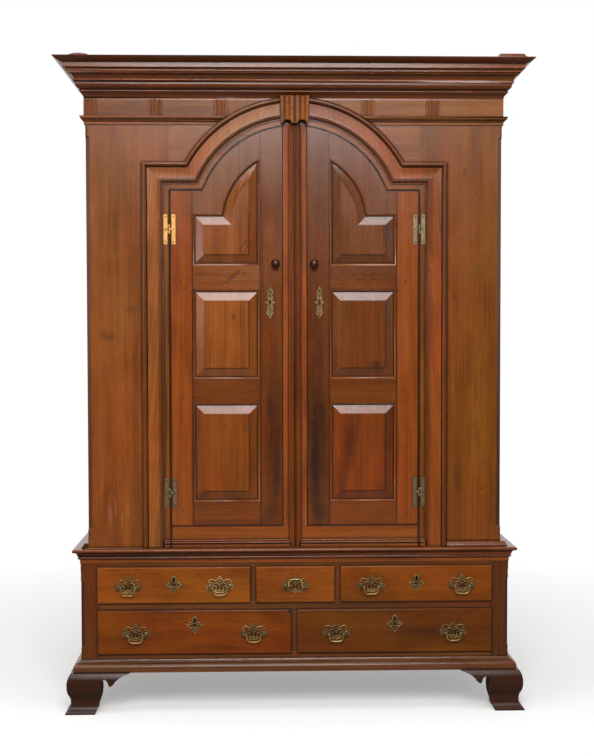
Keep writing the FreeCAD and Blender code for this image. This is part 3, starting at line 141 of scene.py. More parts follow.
def nearness(tree, reach, samples, inside=False):
    # Less than one where a corner is nearer than the reach, or, inside, where an edge is.
    return addNode(tree, "ShaderNodeAmbientOcclusion", {"Distance": reach}, samples=samples,
                   inside=inside, only_local=inside).outputs["AO"]


def addBump(tree, shader, height, look):
    bump = addNode(tree, "ShaderNodeBump", {
        "Height": height, "Strength": look["bumpStrength"], "Distance": look["bumpDistance"]})
    tree.links.new(bump.outputs[0], shader.inputs["Normal"])


def noise(tree, vector, scale, detail, rough, distortion=0.0):
    made = addNode(tree, "ShaderNodeTexNoise", {"Vector": vector, "Scale": scale, "Detail": detail,
                                                "Roughness": rough, "Distortion": distortion})
    return made.outputs[0]


# ---- wood ----

wood = {
    # pattern: scale per metre along, across and through the board, detail, roughness, distortion
    "patterns": {
        "figure": ((0.9, 17.0, 17.0), 4.0, 0.6, 1.2),
        "streak": ((3.0, 190.0, 190.0), 6.0, 0.66, 0.4),
        "pores": ((38.0, 900.0, 900.0), 2.0, 0.5, 0.0),
        "blotch": ((3.4, 8.0, 8.0), 4.0, 0.62, 0.5),
        "drift": ((2.0, 7.0, 7.0), 3.0, 0.6, 0.0),
        "waves": ((5.0, 24.0, 24.0), 2.0, 0.5, 0.0),
    },
    "bandScale": (0.22, 3.2, 3.2),
    # how far each moves the colour from dark to light
    "bandShare": 0.3, "figureShare": 1.9, "streakShare": 2.2, "blotchShare": 2.4, "toneShare": 0.16,
    "darkShare": (0.42, 0.36, 0.36),      # of the middle colour
    "lightShare": (1.5, 1.62, 1.75), "stops": (0.05, 0.5, 0.95),
    "olive": (0.95, 1.07, 1.0), "red": (1.05, 0.93, 1.0), "driftSpan": (0.36, 0.64),
    "poreSpan": (0.34, 0.45), "poreDepth": 0.5, "poreDark": 0.5, "poreRough": 0.3,
    "paintedShadeShare": 0.62,                   # how much painted shade darkens faces that look down or right, and chamfers
    # darkening near corners and in creases, part dirt and part painted shade: reach, span, colour
    "cornerReach": 0.007, "cornerSpan": (0.6, 0.975), "dirtAndShadeColour": (0.01, 0.004, 0.002),
    "wearReach": 0.003, "wearSpan": (0.75, 0.3), "wearBroken": (0.3, 0.6), "wearLight": 1.5,
    "glossSpread": 0.2,
    "bumpStreak": 0.3, "bumpPores": 0.35, "bumpStrength": 0.5, "bumpDistance": 0.0007,
    "markScale": 38.0, "ragged": 0.9,     # how far a mark's rim wanders, as a share of its reach
    "markDepth": 1000.0, "rimCore": 0.4, "rimFade": 0.05,
    "stainAndShade": (0.02, 0.007, 0.003),
    "scuff": (0.42, 0.19, 0.09),
}


def markMask(tree, place, ragged, mark):
    # Full strength in the middle of the mark and nothing past its rim. A rim mark is a part of
    # the rim, round a heading in degrees. A line mark is evenly dark along its height.
    x, z, halfWidth, halfHeight, turn, soft = mark["shape"]
    local = addNode(tree, "ShaderNodeMapping", {
        "Vector": place, "Location": (x, 0, z), "Rotation": (0, math.radians(turn), 0),
        "Scale": (halfWidth, wood["markDepth"], halfHeight)}, vector_type="TEXTURE").outputs[0]
    reach = addNode(tree, "ShaderNodeVectorMath", {0: local}, operation="LENGTH").outputs["Value"]
    if mark["rim"]:
        width, heading, least = mark["rim"]
        offRim = mathNode(tree, "ABSOLUTE", mathNode(tree, "SUBTRACT", reach, 1.0))
        line = ramp(tree, offRim, width * wood["rimCore"], width, mark["strength"], 0.0)
        along = addNode(tree, "ShaderNodeVectorMath", {
            0: local, 1: (math.cos(math.radians(heading)), 0, math.sin(math.radians(heading)))},
            operation="DOT_PRODUCT").outputs["Value"]
        return multiply(tree, line,
                        ramp(tree, along, least - wood["rimFade"], least + wood["rimFade"]))
    if mark["line"]:
        across, _, along = addNode(tree, "ShaderNodeSeparateXYZ", {0: local}).outputs
        inside = mathNode(tree, "LESS_THAN", mathNode(tree, "ABSOLUTE", along), 1.0)
        offLine = mathNode(tree, "ABSOLUTE", across)
        return multiply(tree, inside, ramp(tree, offLine, 1.0 - soft, 1.0, mark["strength"], 0.0))
    reach = timesAdd(tree, ragged, wood["ragged"],
                     mathNode(tree, "SUBTRACT", reach, wood["ragged"] / 2))
    return ramp(tree, reach, 1.0 - soft, 1.0, mark["strength"], 0.0)


def woodMaterial(name, middle, gloss=0.34, specular=0.4, figure=0.35, streaks=0.5, blotches=0.35,
                 cornerDark=0.85, wear=0.35, wave=1.2, drift=1.0, marks=()):
    # Colour runs from dark to light with broad figure, fine streaks and patina, drawn out along the
    # board's own grain; corners are darker with dirt and painted shade, faces that look down or
    # right take painted shade, and edges are paler.
    material, tree, shader = newMaterial(name)
    grain, tint = boardField(tree, "grain", "Vector"), boardField(tree, "tint", "Vector")
    tone, paintedShade = boardField(tree, "tone", "Fac"), boardField(tree, "paintedShade", "Fac")
    bands = addNode(tree, "ShaderNodeTexWave", {
        "Vector": stretched(tree, grain, wood["bandScale"]), "Scale": 1.0, "Distortion": 14.0,
        "Detail": 2.5, "Detail Scale": 0.6, "Detail Roughness": 0.6},
        wave_type="BANDS", bands_direction="Y", wave_profile="SIN").outputs[1]
    pattern = {key: noise(tree, stretched(tree, grain, scale), 1.0, *settings)
               for key, (scale, *settings) in wood["patterns"].items()}
    level = timesAdd(tree, bands, wood["bandShare"] * figure, 0.5 - wood["bandShare"] / 2 * figure)
    for key, amount in (("figure", figure), ("streak", streaks), ("blotch", blotches)):
        level = timesAdd(tree, mathNode(tree, "SUBTRACT", pattern[key], 0.5),
                         wood[key + "Share"] * amount, level)
    level = timesAdd(tree, tone, wood["toneShare"], level, clamp=True)
    colour = addNode(tree, "ShaderNodeValToRGB", {"Fac": level})
    stops = colour.color_ramp.elements
    dark = tuple(part * share for part, share in zip(middle, wood["darkShare"]))
    light = tuple(part * share for part, share in zip(middle, wood["lightShare"]))
    low, half, high = wood["stops"]
    stops[0].position, stops[0].color = low, (*dark, 1.0)
    stops[1].position, stops[1].color = high, (*light, 1.0)
    stops.new(half).color = (*middle, 1.0)
    hue = addNode(tree, "ShaderNodeVectorMath", {0: colour.outputs[0], 1: tint},
                  operation="MULTIPLY").outputs[0]
    hueShift = ramp(tree, pattern["drift"], *wood["driftSpan"])
    tinge = mixColour(tree, hueShift, wood["olive"], wood["red"])
    hue = mixColour(tree, drift, hue, tinge, "MULTIPLY")
    poreMask = ramp(tree, pattern["pores"], *wood["poreSpan"], wood["poreDepth"], 0.0)
    hue = mixColour(tree, poreMask, hue, tuple(wood["poreDark"] * part for part in dark))
    if marks:
        place = addNode(tree, "ShaderNodeTexCoord").outputs["Object"]
        ragged = noise(tree, place, wood["markScale"], 5.0, 0.65)
        for mark in marks:
            hue = mixColour(tree, markMask(tree, place, ragged, mark), hue, wood[mark["colour"]])
    # Painted shade, in the dark stain colour, on faces that look down or right and on chamfers.
    hue = mixColour(tree, multiply(tree, paintedShade, wood["paintedShadeShare"]), hue, wood["stainAndShade"])
    # Darker near corners and in creases: dirt, and painted shade.
    dirtAndShadeMask = ramp(tree, nearness(tree, wood["cornerReach"], 8), *wood["cornerSpan"], cornerDark, 0.0)
    hue = mixColour(tree, dirtAndShadeMask, hue, wood["dirtAndShadeColour"])
    edges = nearness(tree, wood["wearReach"], 6, inside=True)
    wearMask = multiply(tree, ramp(tree, edges, *wood["wearSpan"], 0.0, wear),
                        ramp(tree, pattern["streak"], *wood["wearBroken"]))
    worn = tuple(min(1.0, wood["wearLight"] * part) for part in light)
    hue = mixColour(tree, wearMask, hue, worn)
    tree.links.new(hue, shader.inputs["Base Color"])
    spread = wood["glossSpread"]
    rough = timesAdd(tree, pattern["blotch"], spread, gloss - spread / 2)
    rough = timesAdd(tree, poreMask, wood["poreRough"], rough, clamp=True)
    tree.links.new(rough, shader.inputs["Roughness"])
    shader.inputs["Specular IOR Level"].default_value = specular
    height = timesAdd(tree, pattern["streak"], wood["bumpStreak"],
                      multiply(tree, pattern["pores"], wood["bumpPores"]))
    height = timesAdd(tree, pattern["waves"], wave, height)
    addBump(tree, shader, height, wood)
    return material


metal = {
    "patchScale": 60.0, "speckScale": 540.0,               # per metre
    "cornerReach": 0.004, "cornerSpan": (0.3, 0.9), "cornerDark": 0.7,
    "speckSpan": (0.45, 0.7), "speck": 0.25, "dullRough": 0.25,
    "bumpStrength": 0.2, "bumpDistance": 0.0004,
}


def metalMaterial(name, bright, tarnish, rough=0.34, spread=0.5):
    # Metal that is bright where it is handled and dull brown in its corners.
    material, tree, shader = newMaterial(name)
    place = addNode(tree, "ShaderNodeTexCoord").outputs["Object"]
    patches = noise(tree, place, metal["patchScale"], 5.0, 0.6)
    speck = noise(tree, place, metal["speckScale"], 3.0, 0.6)
    corners = nearness(tree, metal["cornerReach"], 6)
    dull = mathNode(tree, "ADD", ramp(tree, patches, 0.5 - spread / 2, 0.5 + spread / 2),
                    ramp(tree, corners, *metal["cornerSpan"], metal["cornerDark"], 0.0), clamp=True)
    dull = timesAdd(tree, ramp(tree, speck, *metal["speckSpan"]), metal["speck"], dull, clamp=True)
    tree.links.new(mixColour(tree, dull, bright, tarnish), shader.inputs["Base Color"])
    shader.inputs["Metallic"].default_value = 1.0
    tree.links.new(timesAdd(tree, dull, metal["dullRough"], rough), shader.inputs["Roughness"])
    addBump(tree, shader, speck, metal)
    return material


# ---- marks of age and use ----


def spot(x, z, halfWidth, halfHeight, strength, turn=0.0, soft=0.8, colour="stainAndShade", rim=None,
         line=False):
    return {"shape": (x, z, halfWidth, halfHeight, turn, soft), "strength": strength,
            "colour": colour, "rim": rim, "line": line}


doorway = {                                # metres
    "half": 0.4065, "bottom": 0.532, "shoulder": 1.696, "centre": 1.584, "radius": 0.32,
    "reveal": 0.019, "trimWidth": 0.071, "trimProud": 0.0195,
    "bandShares": (0.2, 0.72), "bandProud": (0.58, 0.62),     # shares of the trim's width, proud
    "bandMargin": 0.005, "bandFront": 0.005, "archRise": 0.15,
    # offset, reach, strength and softness of the lines that follow the outline: painted shade in
    # the gap round the doors, and in the architrave's quirks
    "gapLine": (-0.001, 0.0058, 0.95, 0.5),
    "trimLines": ((0.064, 0.009, 0.5, 0.4), (0.008, 0.006, 0.55, 0.6)),
    # middle, reach, half length, strength and softness of the painted shade in the gaps
    "sillGap": (0.223, 0.602, 0.0045, 0.184, 0.9, 0.6),
    "mullionGap": (0.0395, 1.25, 0.0045, 0.65, 0.8, 0.7),
    # the stiles' joints, and the painted shadow lines below and right of the panels' raised fields
    "seams": (0.1125, 0.3325), "seamLine": (1.2, 0.0036, 0.7, 0.9, 0.7),
    "fields": ((0.715, 0.968), (1.117, 1.337), (1.486, 1.62)),       # bottoms and tops
    "fieldRights": (-0.1495, 0.2955), "fieldMiddle": 0.2225, "fieldHalf": 0.073,
    "fieldLine": (0.003, 0.7, 0.7),                                # reach, strength, softness of the painted shadow lines
}


def lineMark(x, z, reach, half, strength, soft, turn=0.0):
    return spot(x, z, reach, half, strength, turn, soft, line=True)


def bothSides(x, *rest):
    return [lineMark(side * x, *rest) for side in sides.values()]


def spots(*each, colour="stainAndShade"):
    return [spot(*values, colour=colour) for values in each]


def holes(strength, radius, *places):
    # Small round holes, each with its x and z.
    return [spot(x, z, radius, radius, strength, soft=0.4) for x, z in places]


def outlineMarks(offset, reach, strength, soft):
    # A line of painted shade that follows the doorway's outline, offset outwards from its edge.
    x, z, radius = (doorway[key] + offset for key in ("half", "shoulder", "radius"))
    rise = z - doorway["centre"]
    corner = math.sqrt(radius ** 2 - rise ** 2)
    marks = [spot(0, doorway["centre"], radius, radius, strength,
                  rim=(reach / radius, 90, rise / radius))]
    marks += bothSides(x, (doorway["bottom"] + z) / 2, reach, (z - doorway["bottom"]) / 2,
                       strength, soft)
    marks += bothSides((x + corner) / 2, z, reach, (x - corner) / 2, strength, soft, 90)
    return marks


# Painted shade in the gaps round the doors, under them and beside the mullion.
gapShadeMarks = (outlineMarks(*doorway["gapLine"]) + bothSides(*doorway["sillGap"], 90)
            + bothSides(*doorway["mullionGap"]))
seamAndShadowMarks = [mark for x in doorway["seams"] for mark in bothSides(x, *doorway["seamLine"])]
# Painted shadow lines along the raised fields' right and bottom edges.
for bottom, top in doorway["fields"]:
    reach, *dark = doorway["fieldLine"]
    seamAndShadowMarks += [lineMark(x, (bottom + top) / 2, reach, (top - bottom) / 2, *dark)
                  for x in doorway["fieldRights"]]
    seamAndShadowMarks += bothSides(doorway["fieldMiddle"], bottom, reach, doorway["fieldHalf"], *dark, 90)
# Painted shade in the quirks beside the architrave's inner cove and outer bead.
trimShadeMarks = [mark for offset, *line in doorway["trimLines"]
             for mark in outlineMarks(doorway["reveal"] + offset, *line)]
caseMarks = gapShadeMarks + spots(
    (-0.616, 1.213, 0.01, 0.006, 0.5, 20), (-0.61, 1.219, 0.03, 0.012, 0.35, 30),
    (-0.6, 1.225, 0.06, 0.016, 0.25, 25), (-0.532, 1.775, 0.022, 0.016, 0.25),
    (-0.531, 1.31, 0.03, 0.012, 0.35), (0.555, 1.754, 0.008, 0.026, 0.6),
    (0.523, 1.348, 0.004, 0.012, 0.8), (0.573, 1.103, 0.018, 0.06, 0.25),
    (0.6, 0.9, 0.012, 0.09, 0.25), (0.53, 0.76, 0.016, 0.06, 0.3),
    (0.61, 0.72, 0.003, 0.004, 0.9, 0, 0.4)) + spots(
    (-0.604, 0.64, 0.008, 0.05, 0.35), (-0.565, 0.623, 0.004, 0.04, 0.45, 4),
    (-0.585, 0.655, 0.003, 0.045, 0.35, -3), (-0.545, 0.65, 0.003, 0.03, 0.35),
    colour="scuff") + holes(0.9, 0.003, (0.548, 1.54), (0.5, 0.96))
doorMarks = gapShadeMarks + seamAndShadowMarks + spots(
    (-0.2, 1.416, 0.05, 0.01, 0.6, -38), (-0.165, 1.425, 0.02, 0.008, 0.45, -30),
    (-0.068, 0.9, 0.036, 0.33, 0.55, 1, 0.7), (-0.06, 0.77, 0.016, 0.15, 0.6, 2),
    (-0.082, 0.98, 0.012, 0.1, 0.4, -2), (-0.08, 0.64, 0.03, 0.06, 0.35),
    (-0.201, 1.284, 0.009, 0.012, 0.55), (0.075, 0.88, 0.038, 0.33, 0.6, 0, 0.6),
    (0.066, 0.8, 0.02, 0.23, 0.75, 1), (0.088, 0.97, 0.012, 0.11, 0.5, -1),
    (0.08, 0.64, 0.03, 0.08, 0.5), (0.18, 0.87, 0.03, 0.14, 0.55, 2),
    (0.15, 0.74, 0.02, 0.08, 0.4), (0.268, 1.125, 0.03, 0.03, 0.6),
    (0.13, 1.14, 0.016, 0.06, 0.35), (-0.3, 0.705, 0.03, 0.02, 0.45),
    (0.085, 1.2, 0.03, 0.14, 0.3), (-0.23, 0.925, 0.006, 0.005, 0.6),
    (-0.16, 0.93, 0.02, 0.05, 0.25)) + holes(
    0.95, 0.003, (-0.372, 1.398), (-0.358, 1.376), (-0.362, 1.022), (0.36, 1.044),
    (0.366, 0.64), (0.06, 1.64), (-0.366, 0.655)) + holes(0.95, 0.004, (0.362, 1.398)) + [
    spot(-0.144, 1.484, 0.034, 0.05, 0.9, rim=(0.04, 135, 0.75)),
    spot(-0.132, 1.476, 0.036, 0.046, 0.8, rim=(0.035, 135, 0.8)),
# Painted shade in the doors' keyholes.
] + bothSides(*keyhole["doorPlace"], *keyhole["doorDark"])
drawerMarks = spots(
    (-0.015, 0.325, 0.01, 0.009, 0.95, 0, 0.4), (-0.127, 0.353, 0.012, 0.006, 0.85, 0, 0.4),
    (-0.6, 0.462, 0.03, 0.003, 0.75), (-0.515, 0.463, 0.014, 0.003, 0.6),
    (-0.06, 0.458, 0.05, 0.006, 0.35), (-0.4, 0.33, 0.16, 0.012, 0.25, 2),
    (0.075, 0.262, 0.004, 0.003, 0.8), (0.42, 0.25, 0.16, 0.03, 0.35),
    (-0.2, 0.205, 0.09, 0.006, 0.4, 8), (-0.37, 0.408, 0.06, 0.01, 0.3))
for drawer, place in keyPlaces.items():       # painted shade in the keyholes, and dirt round their plates
    rise = place.z + keyLifts[drawer]
    drawerMarks += [spot(place.x, rise - keyhole["plateDrop"], *keyhole["plateDirt"]),
                    lineMark(place.x, rise, *keyhole["drawerDark"])]
for x, _, z in bails.values():
    drawerMarks += [spot(x, z + keyhole["pullRise"], *keyhole["pullDirt"])]

finish = {
    "caseWood": woodMaterial("walnutCase", (0.222, 0.057, 0.005), specular=0.35, gloss=0.26,
                             marks=caseMarks),
    "doorWood": woodMaterial("walnutDoor", (0.25, 0.054, 0.003), specular=0.5, gloss=0.22,
                             marks=doorMarks),
    "drawerWood": woodMaterial("walnutDrawer", (0.245, 0.057, 0.002), specular=0.25, gloss=0.3,
                               figure=0.35, streaks=0.25, blotches=0.5, marks=drawerMarks),
    "friezeWood": woodMaterial("walnutFrieze", (0.235, 0.064, 0.005), specular=0.2, gloss=0.28),
    "trimWood": woodMaterial("walnutTrim", (0.265, 0.068, 0.006), specular=0.4, gloss=0.25,
                             figure=0.2, streaks=0.6, cornerDark=0.97, wave=0.5, marks=trimShadeMarks),
    "mullionWood": woodMaterial("walnutMullion", (0.2, 0.04, 0.001), specular=0.15, gloss=0.3,
                                figure=0.2, streaks=0.6, wave=0.5),
    "corniceWood": woodMaterial("walnutCornice", (0.17, 0.038, 0.001), specular=0.45, gloss=0.2,
                                figure=0.15, streaks=0.6, cornerDark=0.97, wave=0.4),
    "footWood": woodMaterial("walnutFoot", (0.04, 0.009, 0.001), specular=0.42, gloss=0.27,
                             figure=0.2),
    "innerWood": woodMaterial("innerPoplar", (0.43, 0.27, 0.14), gloss=0.65, specular=0.3,
                              wear=0.0, drift=0.2),
    "brass": metalMaterial("oldBrass", (0.7, 0.5, 0.21), (0.18, 0.12, 0.045), rough=0.32),
    "brightBrass": metalMaterial("rubbedBrass", (0.95, 0.7, 0.33), (0.46, 0.32, 0.14),
                                 rough=0.3),
    "postBrass": metalMaterial("postBrass", (0.26, 0.185, 0.1), (0.09, 0.06, 0.032),
                               rough=0.42),
    "hingeBrass": metalMaterial("hingeBrass", (0.4, 0.31, 0.165), (0.13, 0.095, 0.055),
                                spread=0.9),
    "goldBrass": metalMaterial("cleanBrass", (0.9, 0.5, 0.15), (0.48, 0.24, 0.07),
                               spread=1.4),
    "knobBrass": metalMaterial("knobBrass", (0.17, 0.07, 0.045), (0.055, 0.022, 0.015),
                               rough=0.22),
    "iron": metalMaterial("lockIron", (0.12, 0.105, 0.095), (0.035, 0.025, 0.02), rough=0.45),
}
print("finishes made:", len(finish))

# ---- CAD nodes dressed as boards ----

dressing = {
    "merge": 0.00001, "flat": 0.4,              # metres, and degrees as the next two are
    "bevelFrom": 50, "surfaceSharp": 50, "bevelSegments": 2, "flatWeight": 90,
    "seed": (7919, 104729, 1299709), "shift": 40, "tone": 0.5,      # of each board's own grain
    # painted shade: how fast a face darkens as it turns down, and to the right where it is sloped,
    # and at most
    "down": 2.2, "right": 1.8, "rightMost": 0.6, "sloped": (-0.99, -0.3), "chamfer": 0.3,
}
chamfers = {"face_stiles": 0.6, "lower_stiles": 1.1}       # how dark the painted shade on their slanted corners is
boardTints = {     # the board nearest to each place (X, Z) in its node takes that tint
    "face_stiles": [(-0.55, 1.2, (1.0, 1.0, 1.2)), (0.55, 1.2, (0.87, 0.92, 0.55))],
    "head_and_sill": [(0, 1.8, (0.98, 1.02, 1.5)), (0, 0.6, (1.1, 1.05, 1.2))],
    "door_left_stiles": [(-0.37, 1.1, (1.03, 1.0, 1.0)), (-0.07, 1.1, (0.62, 0.64, 0.7))],
    "door_right_stiles": [(0.37, 1.1, (0.98, 0.95, 1.0)), (0.07, 1.1, (0.55, 0.58, 0.7))],
    # The arched crown rails' greyer, bluer tints are partly painted sheen.
    "door_left_rails": [(-0.22, 1.41, (0.8, 0.85, 1.1)), (-0.22, 1.04, (0.68, 0.7, 0.8)),
                        (-0.22, 0.65, (0.66, 0.66, 0.8)), (-0.2, 1.8, (0.7, 0.98, 4.5))],
    "door_right_rails": [(0.22, 1.41, (0.6, 0.62, 0.7)), (0.22, 1.04, (0.62, 0.62, 0.7)),
                         (0.22, 0.65, (0.7, 0.66, 0.7)), (0.2, 1.8, (0.55, 0.74, 3.5))],
    "door_left_panels": [(-0.22, 1.6, (0.92, 1.1, 1.2)), (-0.22, 1.2, (1.08, 1.3, 1.8)),
                         (-0.22, 0.84, (0.84, 0.86, 0.7))],
    "door_right_panels": [(0.22, 1.6, (0.58, 0.64, 0.6)), (0.22, 1.2, (0.58, 0.64, 0.7)),
                          (0.22, 0.84, (0.86, 0.72, 0.3))],
    # The arch's greyer, bluer tint is partly painted sheen.
    "architrave": [(-0.5, 1.1, (1.1, 1.2, 1.8)), (0.5, 1.1, (0.9, 0.78, 0.7)),
                   (0, 1.9, (0.72, 0.92, 3.6)), (0, 0.6, (0.95, 0.9, 1.2))],
    "lower_stiles": [(-0.67, 0.3, (0.46, 0.38, 0.1)), (0.67, 0.3, (0.44, 0.4, 0.1))],
}
wholeTints = {
    "triglyphs": (1.0, 0.95, 1.0), "frieze": (0.98, 1.05, 2.5), "mullion": (1.38, 1.72, 14.0),
    "keystone": (1.05, 1.35, 2.0), "cornice": (1.04, 0.96, 0.6),
    "base_moulding": (0.82, 1.15, 12.0), "waist_moulding": (1.02, 0.98, 1.0),
    "drawer_rails": (0.66, 0.7, 1.0), "drawer_top_right_front": (0.84, 0.84, 0.5),
    "drawer_low_left_front": (0.84, 0.74, 0.3), "drawer_low_right_front": (0.55, 0.58, 0.3),
    "drawer_top_middle_front": (1.06, 1.15, 1.5), "drawer_top_left_front": (1.08, 1.12, 1.2),
    "sticking": (0.85, 0.92, 1.0),
}


def islandsOf(count, edges):
    # Labels each vertex with the lowest vertex number that edges join it to.
    label = np.arange(count)
    while True:
        lowest = np.minimum(label[edges[:, 0]], label[edges[:, 1]])
        after = label.copy()
        np.minimum.at(after, edges[:, 0], lowest)
        np.minimum.at(after, edges[:, 1], lowest)
        after = after[after]
        if (after == label).all():
            return np.unique(label, return_inverse=True)[1]
        label = after


def vertexPlaces(mesh):
    place = np.empty(len(mesh.vertices) * 3)
    mesh.vertices.foreach_get("co", place)
    return place.reshape(-1, 3)


def moveVertices(mesh, place):
    mesh.vertices.foreach_set("co", place.ravel())
    mesh.update()


def meshIslands(mesh):
    edges = np.empty(len(mesh.edges) * 2, dtype=np.int64)
    mesh.edges.foreach_get("vertices", edges)
    return vertexPlaces(mesh), islandsOf(len(mesh.vertices), edges.reshape(-1, 2))


def grainFields(mesh, node, slanted=False):
    # Gives every board of a mesh its own grain direction, its own place in the tree and a tone, and
    # the painted shade of faces that look down, sloped faces that look right, and chamfers.
    tints = boardTints.get(node) or [(0, 0, wholeTints.get(node, (1, 1, 1)))]
    place, island = meshIslands(mesh)
    grain = np.empty(place.shape)
    tint = np.empty(place.shape)
    tone = np.empty(len(place))
    for number in range(island.max() + 1):
        chosen = island == number
        part = place[chosen]
        middle = (part.max(axis=0) + part.min(axis=0)) / 2
        spread = part - middle
        if slanted:
            axes = np.linalg.eigh(spread.T @ spread)[1][:, ::-1]
        else:
            axes = np.eye(3)[:, np.argsort(-(part.max(axis=0) - part.min(axis=0)))]
        own = np.random.default_rng(int(abs(middle @ dressing["seed"]) * 10))
        grain[chosen] = spread @ axes + own.uniform(-dressing["shift"], dressing["shift"], 3)
        tone[chosen] = own.uniform(-dressing["tone"], dressing["tone"])
        tint[chosen] = min(tints, key=lambda each: math.hypot(middle[0] - each[0],
                                                              middle[2] - each[1]))[2]
    for name, field in (("grain", grain), ("tint", tint)):
        made = mesh.attributes.new(name, "FLOAT_VECTOR", "POINT")
        made.data.foreach_set("vector", field.ravel())
    mesh.attributes.new("tone", "FLOAT", "POINT").data.foreach_set("value", tone)
    # Painted shade: faces that look down, sloped faces that look right, and chamfers are darkened.
    facing = np.empty(len(mesh.polygons) * 3)
    mesh.polygons.foreach_get("normal", facing)
    right, back, up = facing.reshape(-1, 3).T
    frontMost, frontLeast = dressing["sloped"]
    sloped = (back > frontMost) & (back < frontLeast)
    paintedShade = (np.clip(-dressing["down"] * up, 0, 1)
             + np.clip(dressing["right"] * right, 0, dressing["rightMost"]) * sloped)
    chamfered = np.minimum(np.abs(right), np.abs(back)) > dressing["chamfer"]
    paintedShade += chamfers.get(node, 0.0) * chamfered
    mesh.attributes.new("paintedShade", "FLOAT", "FACE").data.foreach_set("value", np.clip(paintedShade, 0, 1))


def softened(piece, edge, sharp):
    # Rounds the edges and shades the flats evenly.
    mesh = piece.data
    mesh.shade_smooth()
    mesh.set_sharp_from_angle(angle=math.radians(sharp))
    if edge:
        soften = piece.modifiers.new("soften", "BEVEL")
        soften.width, soften.segments = edge, dressing["bevelSegments"]
        soften.limit_method, soften.angle_limit = "ANGLE", math.radians(dressing["bevelFrom"])
    flatten = piece.modifiers.new("flatten", "WEIGHTED_NORMAL")
    flatten.keep_sharp, flatten.weight = True, dressing["flatWeight"]


def dressed(node, material, edge=0.0012, sharp=34, slanted=False, keep=None, name=None,
            reshape=None):
    # A merged copy of a CAD node, or of its islands that keep accepts, with softened edges, grain
    # and a finish.
    mesh = nodeOf[node].data.copy()
    piece = newObject(name or node + "_dressed", mesh)
    shell = bmesh.new()
    shell.from_mesh(mesh)
    bmesh.ops.remove_doubles(shell, verts=shell.verts, dist=dressing["merge"])
    bmesh.ops.dissolve_limit(shell, angle_limit=math.radians(dressing["flat"]), verts=shell.verts,
                             edges=shell.edges)
    shell.to_mesh(mesh)
    if keep:
        place, island = meshIslands(mesh)
        parts = [place[island == number] for number in range(island.max() + 1)]
        dropped = [number for number, part in enumerate(parts)
                   if not keep(part.min(axis=0), part.max(axis=0))]
        shell.verts.ensure_lookup_table()
        gone = [shell.verts[index] for index in np.flatnonzero(np.isin(island, dropped))]
        bmesh.ops.delete(shell, geom=gone, context="VERTS")
        shell.to_mesh(mesh)
    shell.free()
    if reshape:
        reshape(mesh)
    grainFields(mesh, node, slanted)
    mesh.materials.clear()
    mesh.materials.append(material)
    softened(piece, edge, sharp)
    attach(piece, bodyOf[node])
    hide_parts(node)
    return piece


sticking = {
    "inner": 0.1125, "outer": 0.3325, "radius": 0.243, "round": 0.0095, "steps": 24,    # metres
    "panels": [(0.678, 1.005), (1.08, 1.374), (1.449, 1.619)],      # bottoms and tops of openings
    "profile": [(0.2, 12.0), (0.2, 1.6), (1.4, 1.2), (3.6, 1.5), (6.0, 2.8), (8.2, 5.4), (9.4, 9.8),
                (9.4, 12.0)],                                         # millimetres in and behind
}


def squareOpenings(mesh):
    # The rounded edges of the panel openings go square, where the mouldings stand inside them.
    place = vertexPlaces(mesh)
    behind = place[:, 1] - doorFace
    rounded = (behind > 0) & (behind < sticking["round"])
    place[rounded, 1] -= behind[rounded]
    moveVertices(mesh, place)


def openingOutline(bottom, top, inset):
    # A panel opening's outline, drawn in by the inset; the last one's top follows the arch.
    left, right = sticking["inner"] + inset, sticking["outer"] - inset
    bottom, ceiling = bottom + inset, top - inset
    if top != sticking["panels"][-1][1]:
        return np.array([(left, bottom), (right, bottom), (right, ceiling), (left, ceiling)])
    radius, centre = sticking["radius"] - inset, doorway["centre"]
    turn = np.linspace(math.asin((ceiling - centre) / radius), math.acos(left / radius),
                       sticking["steps"])
    arch = np.stack([radius * np.cos(turn), centre + radius * np.sin(turn)], axis=1)
    return np.vstack([[(left, bottom), (right, bottom), (right, ceiling)], arch])


def ringFaces(here, onward):
    # Each row of points is joined to the next row, and its last point to its first.
    return np.stack([here, np.roll(here, -1, 1), np.roll(onward, -1, 1), onward],
                    axis=2).reshape(-1, 4).tolist()


def stickingSurface(bottom, top, side):
    # The profile's points each follow the opening's outline, and the surface joins them in turn.
    loops = []
    for inset, behind in sticking["profile"]:
        outline = openingOutline(bottom, top, inset * 0.001) * (side, 1.0)
        loops.append(np.insert(outline * 1000.0, 1, behind, axis=1))
    grid = np.array(loops)
    index = np.arange(grid.shape[0] * grid.shape[1]).reshape(grid.shape[:2])
    return grid.reshape(-1, 3), ringFaces(index, np.roll(index, -1, 0))


def flattenBand(mesh):
    # The architrave's wide band is laid straight between its quirks. A point's share is how far
    # it lies across the trim.
    place, island = meshIslands(mesh)
    inner = doorway["reveal"]
    fromLeg = np.maximum(np.abs(place[:, 0]) - doorway["half"],
                         place[:, 2] - doorway["shoulder"]) - inner
    fromArc = np.hypot(place[:, 0], place[:, 2] - doorway["centre"]) - doorway["radius"] - inner
    arched = np.array([place[island == number, 2].max() > doorway["shoulder"] + doorway["archRise"]
                       for number in range(island.max() + 1)])[island]
    share = np.where(arched, fromArc, fromLeg) / doorway["trimWidth"]
    (first, last), (fromProud, toProud) = doorway["bandShares"], doorway["bandProud"]
    proud = np.interp(share, (first, last), (fromProud, toProud)) * doorway["trimProud"]
    face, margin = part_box("face_stiles")[0][1], doorway["bandMargin"]
    inBand = ((share > first + margin) & (share < last - margin)
              & (place[:, 1] < face - doorway["bandFront"]))
    place[inBand, 1] = face - proud[inBand]
    moveVertices(mesh, place)


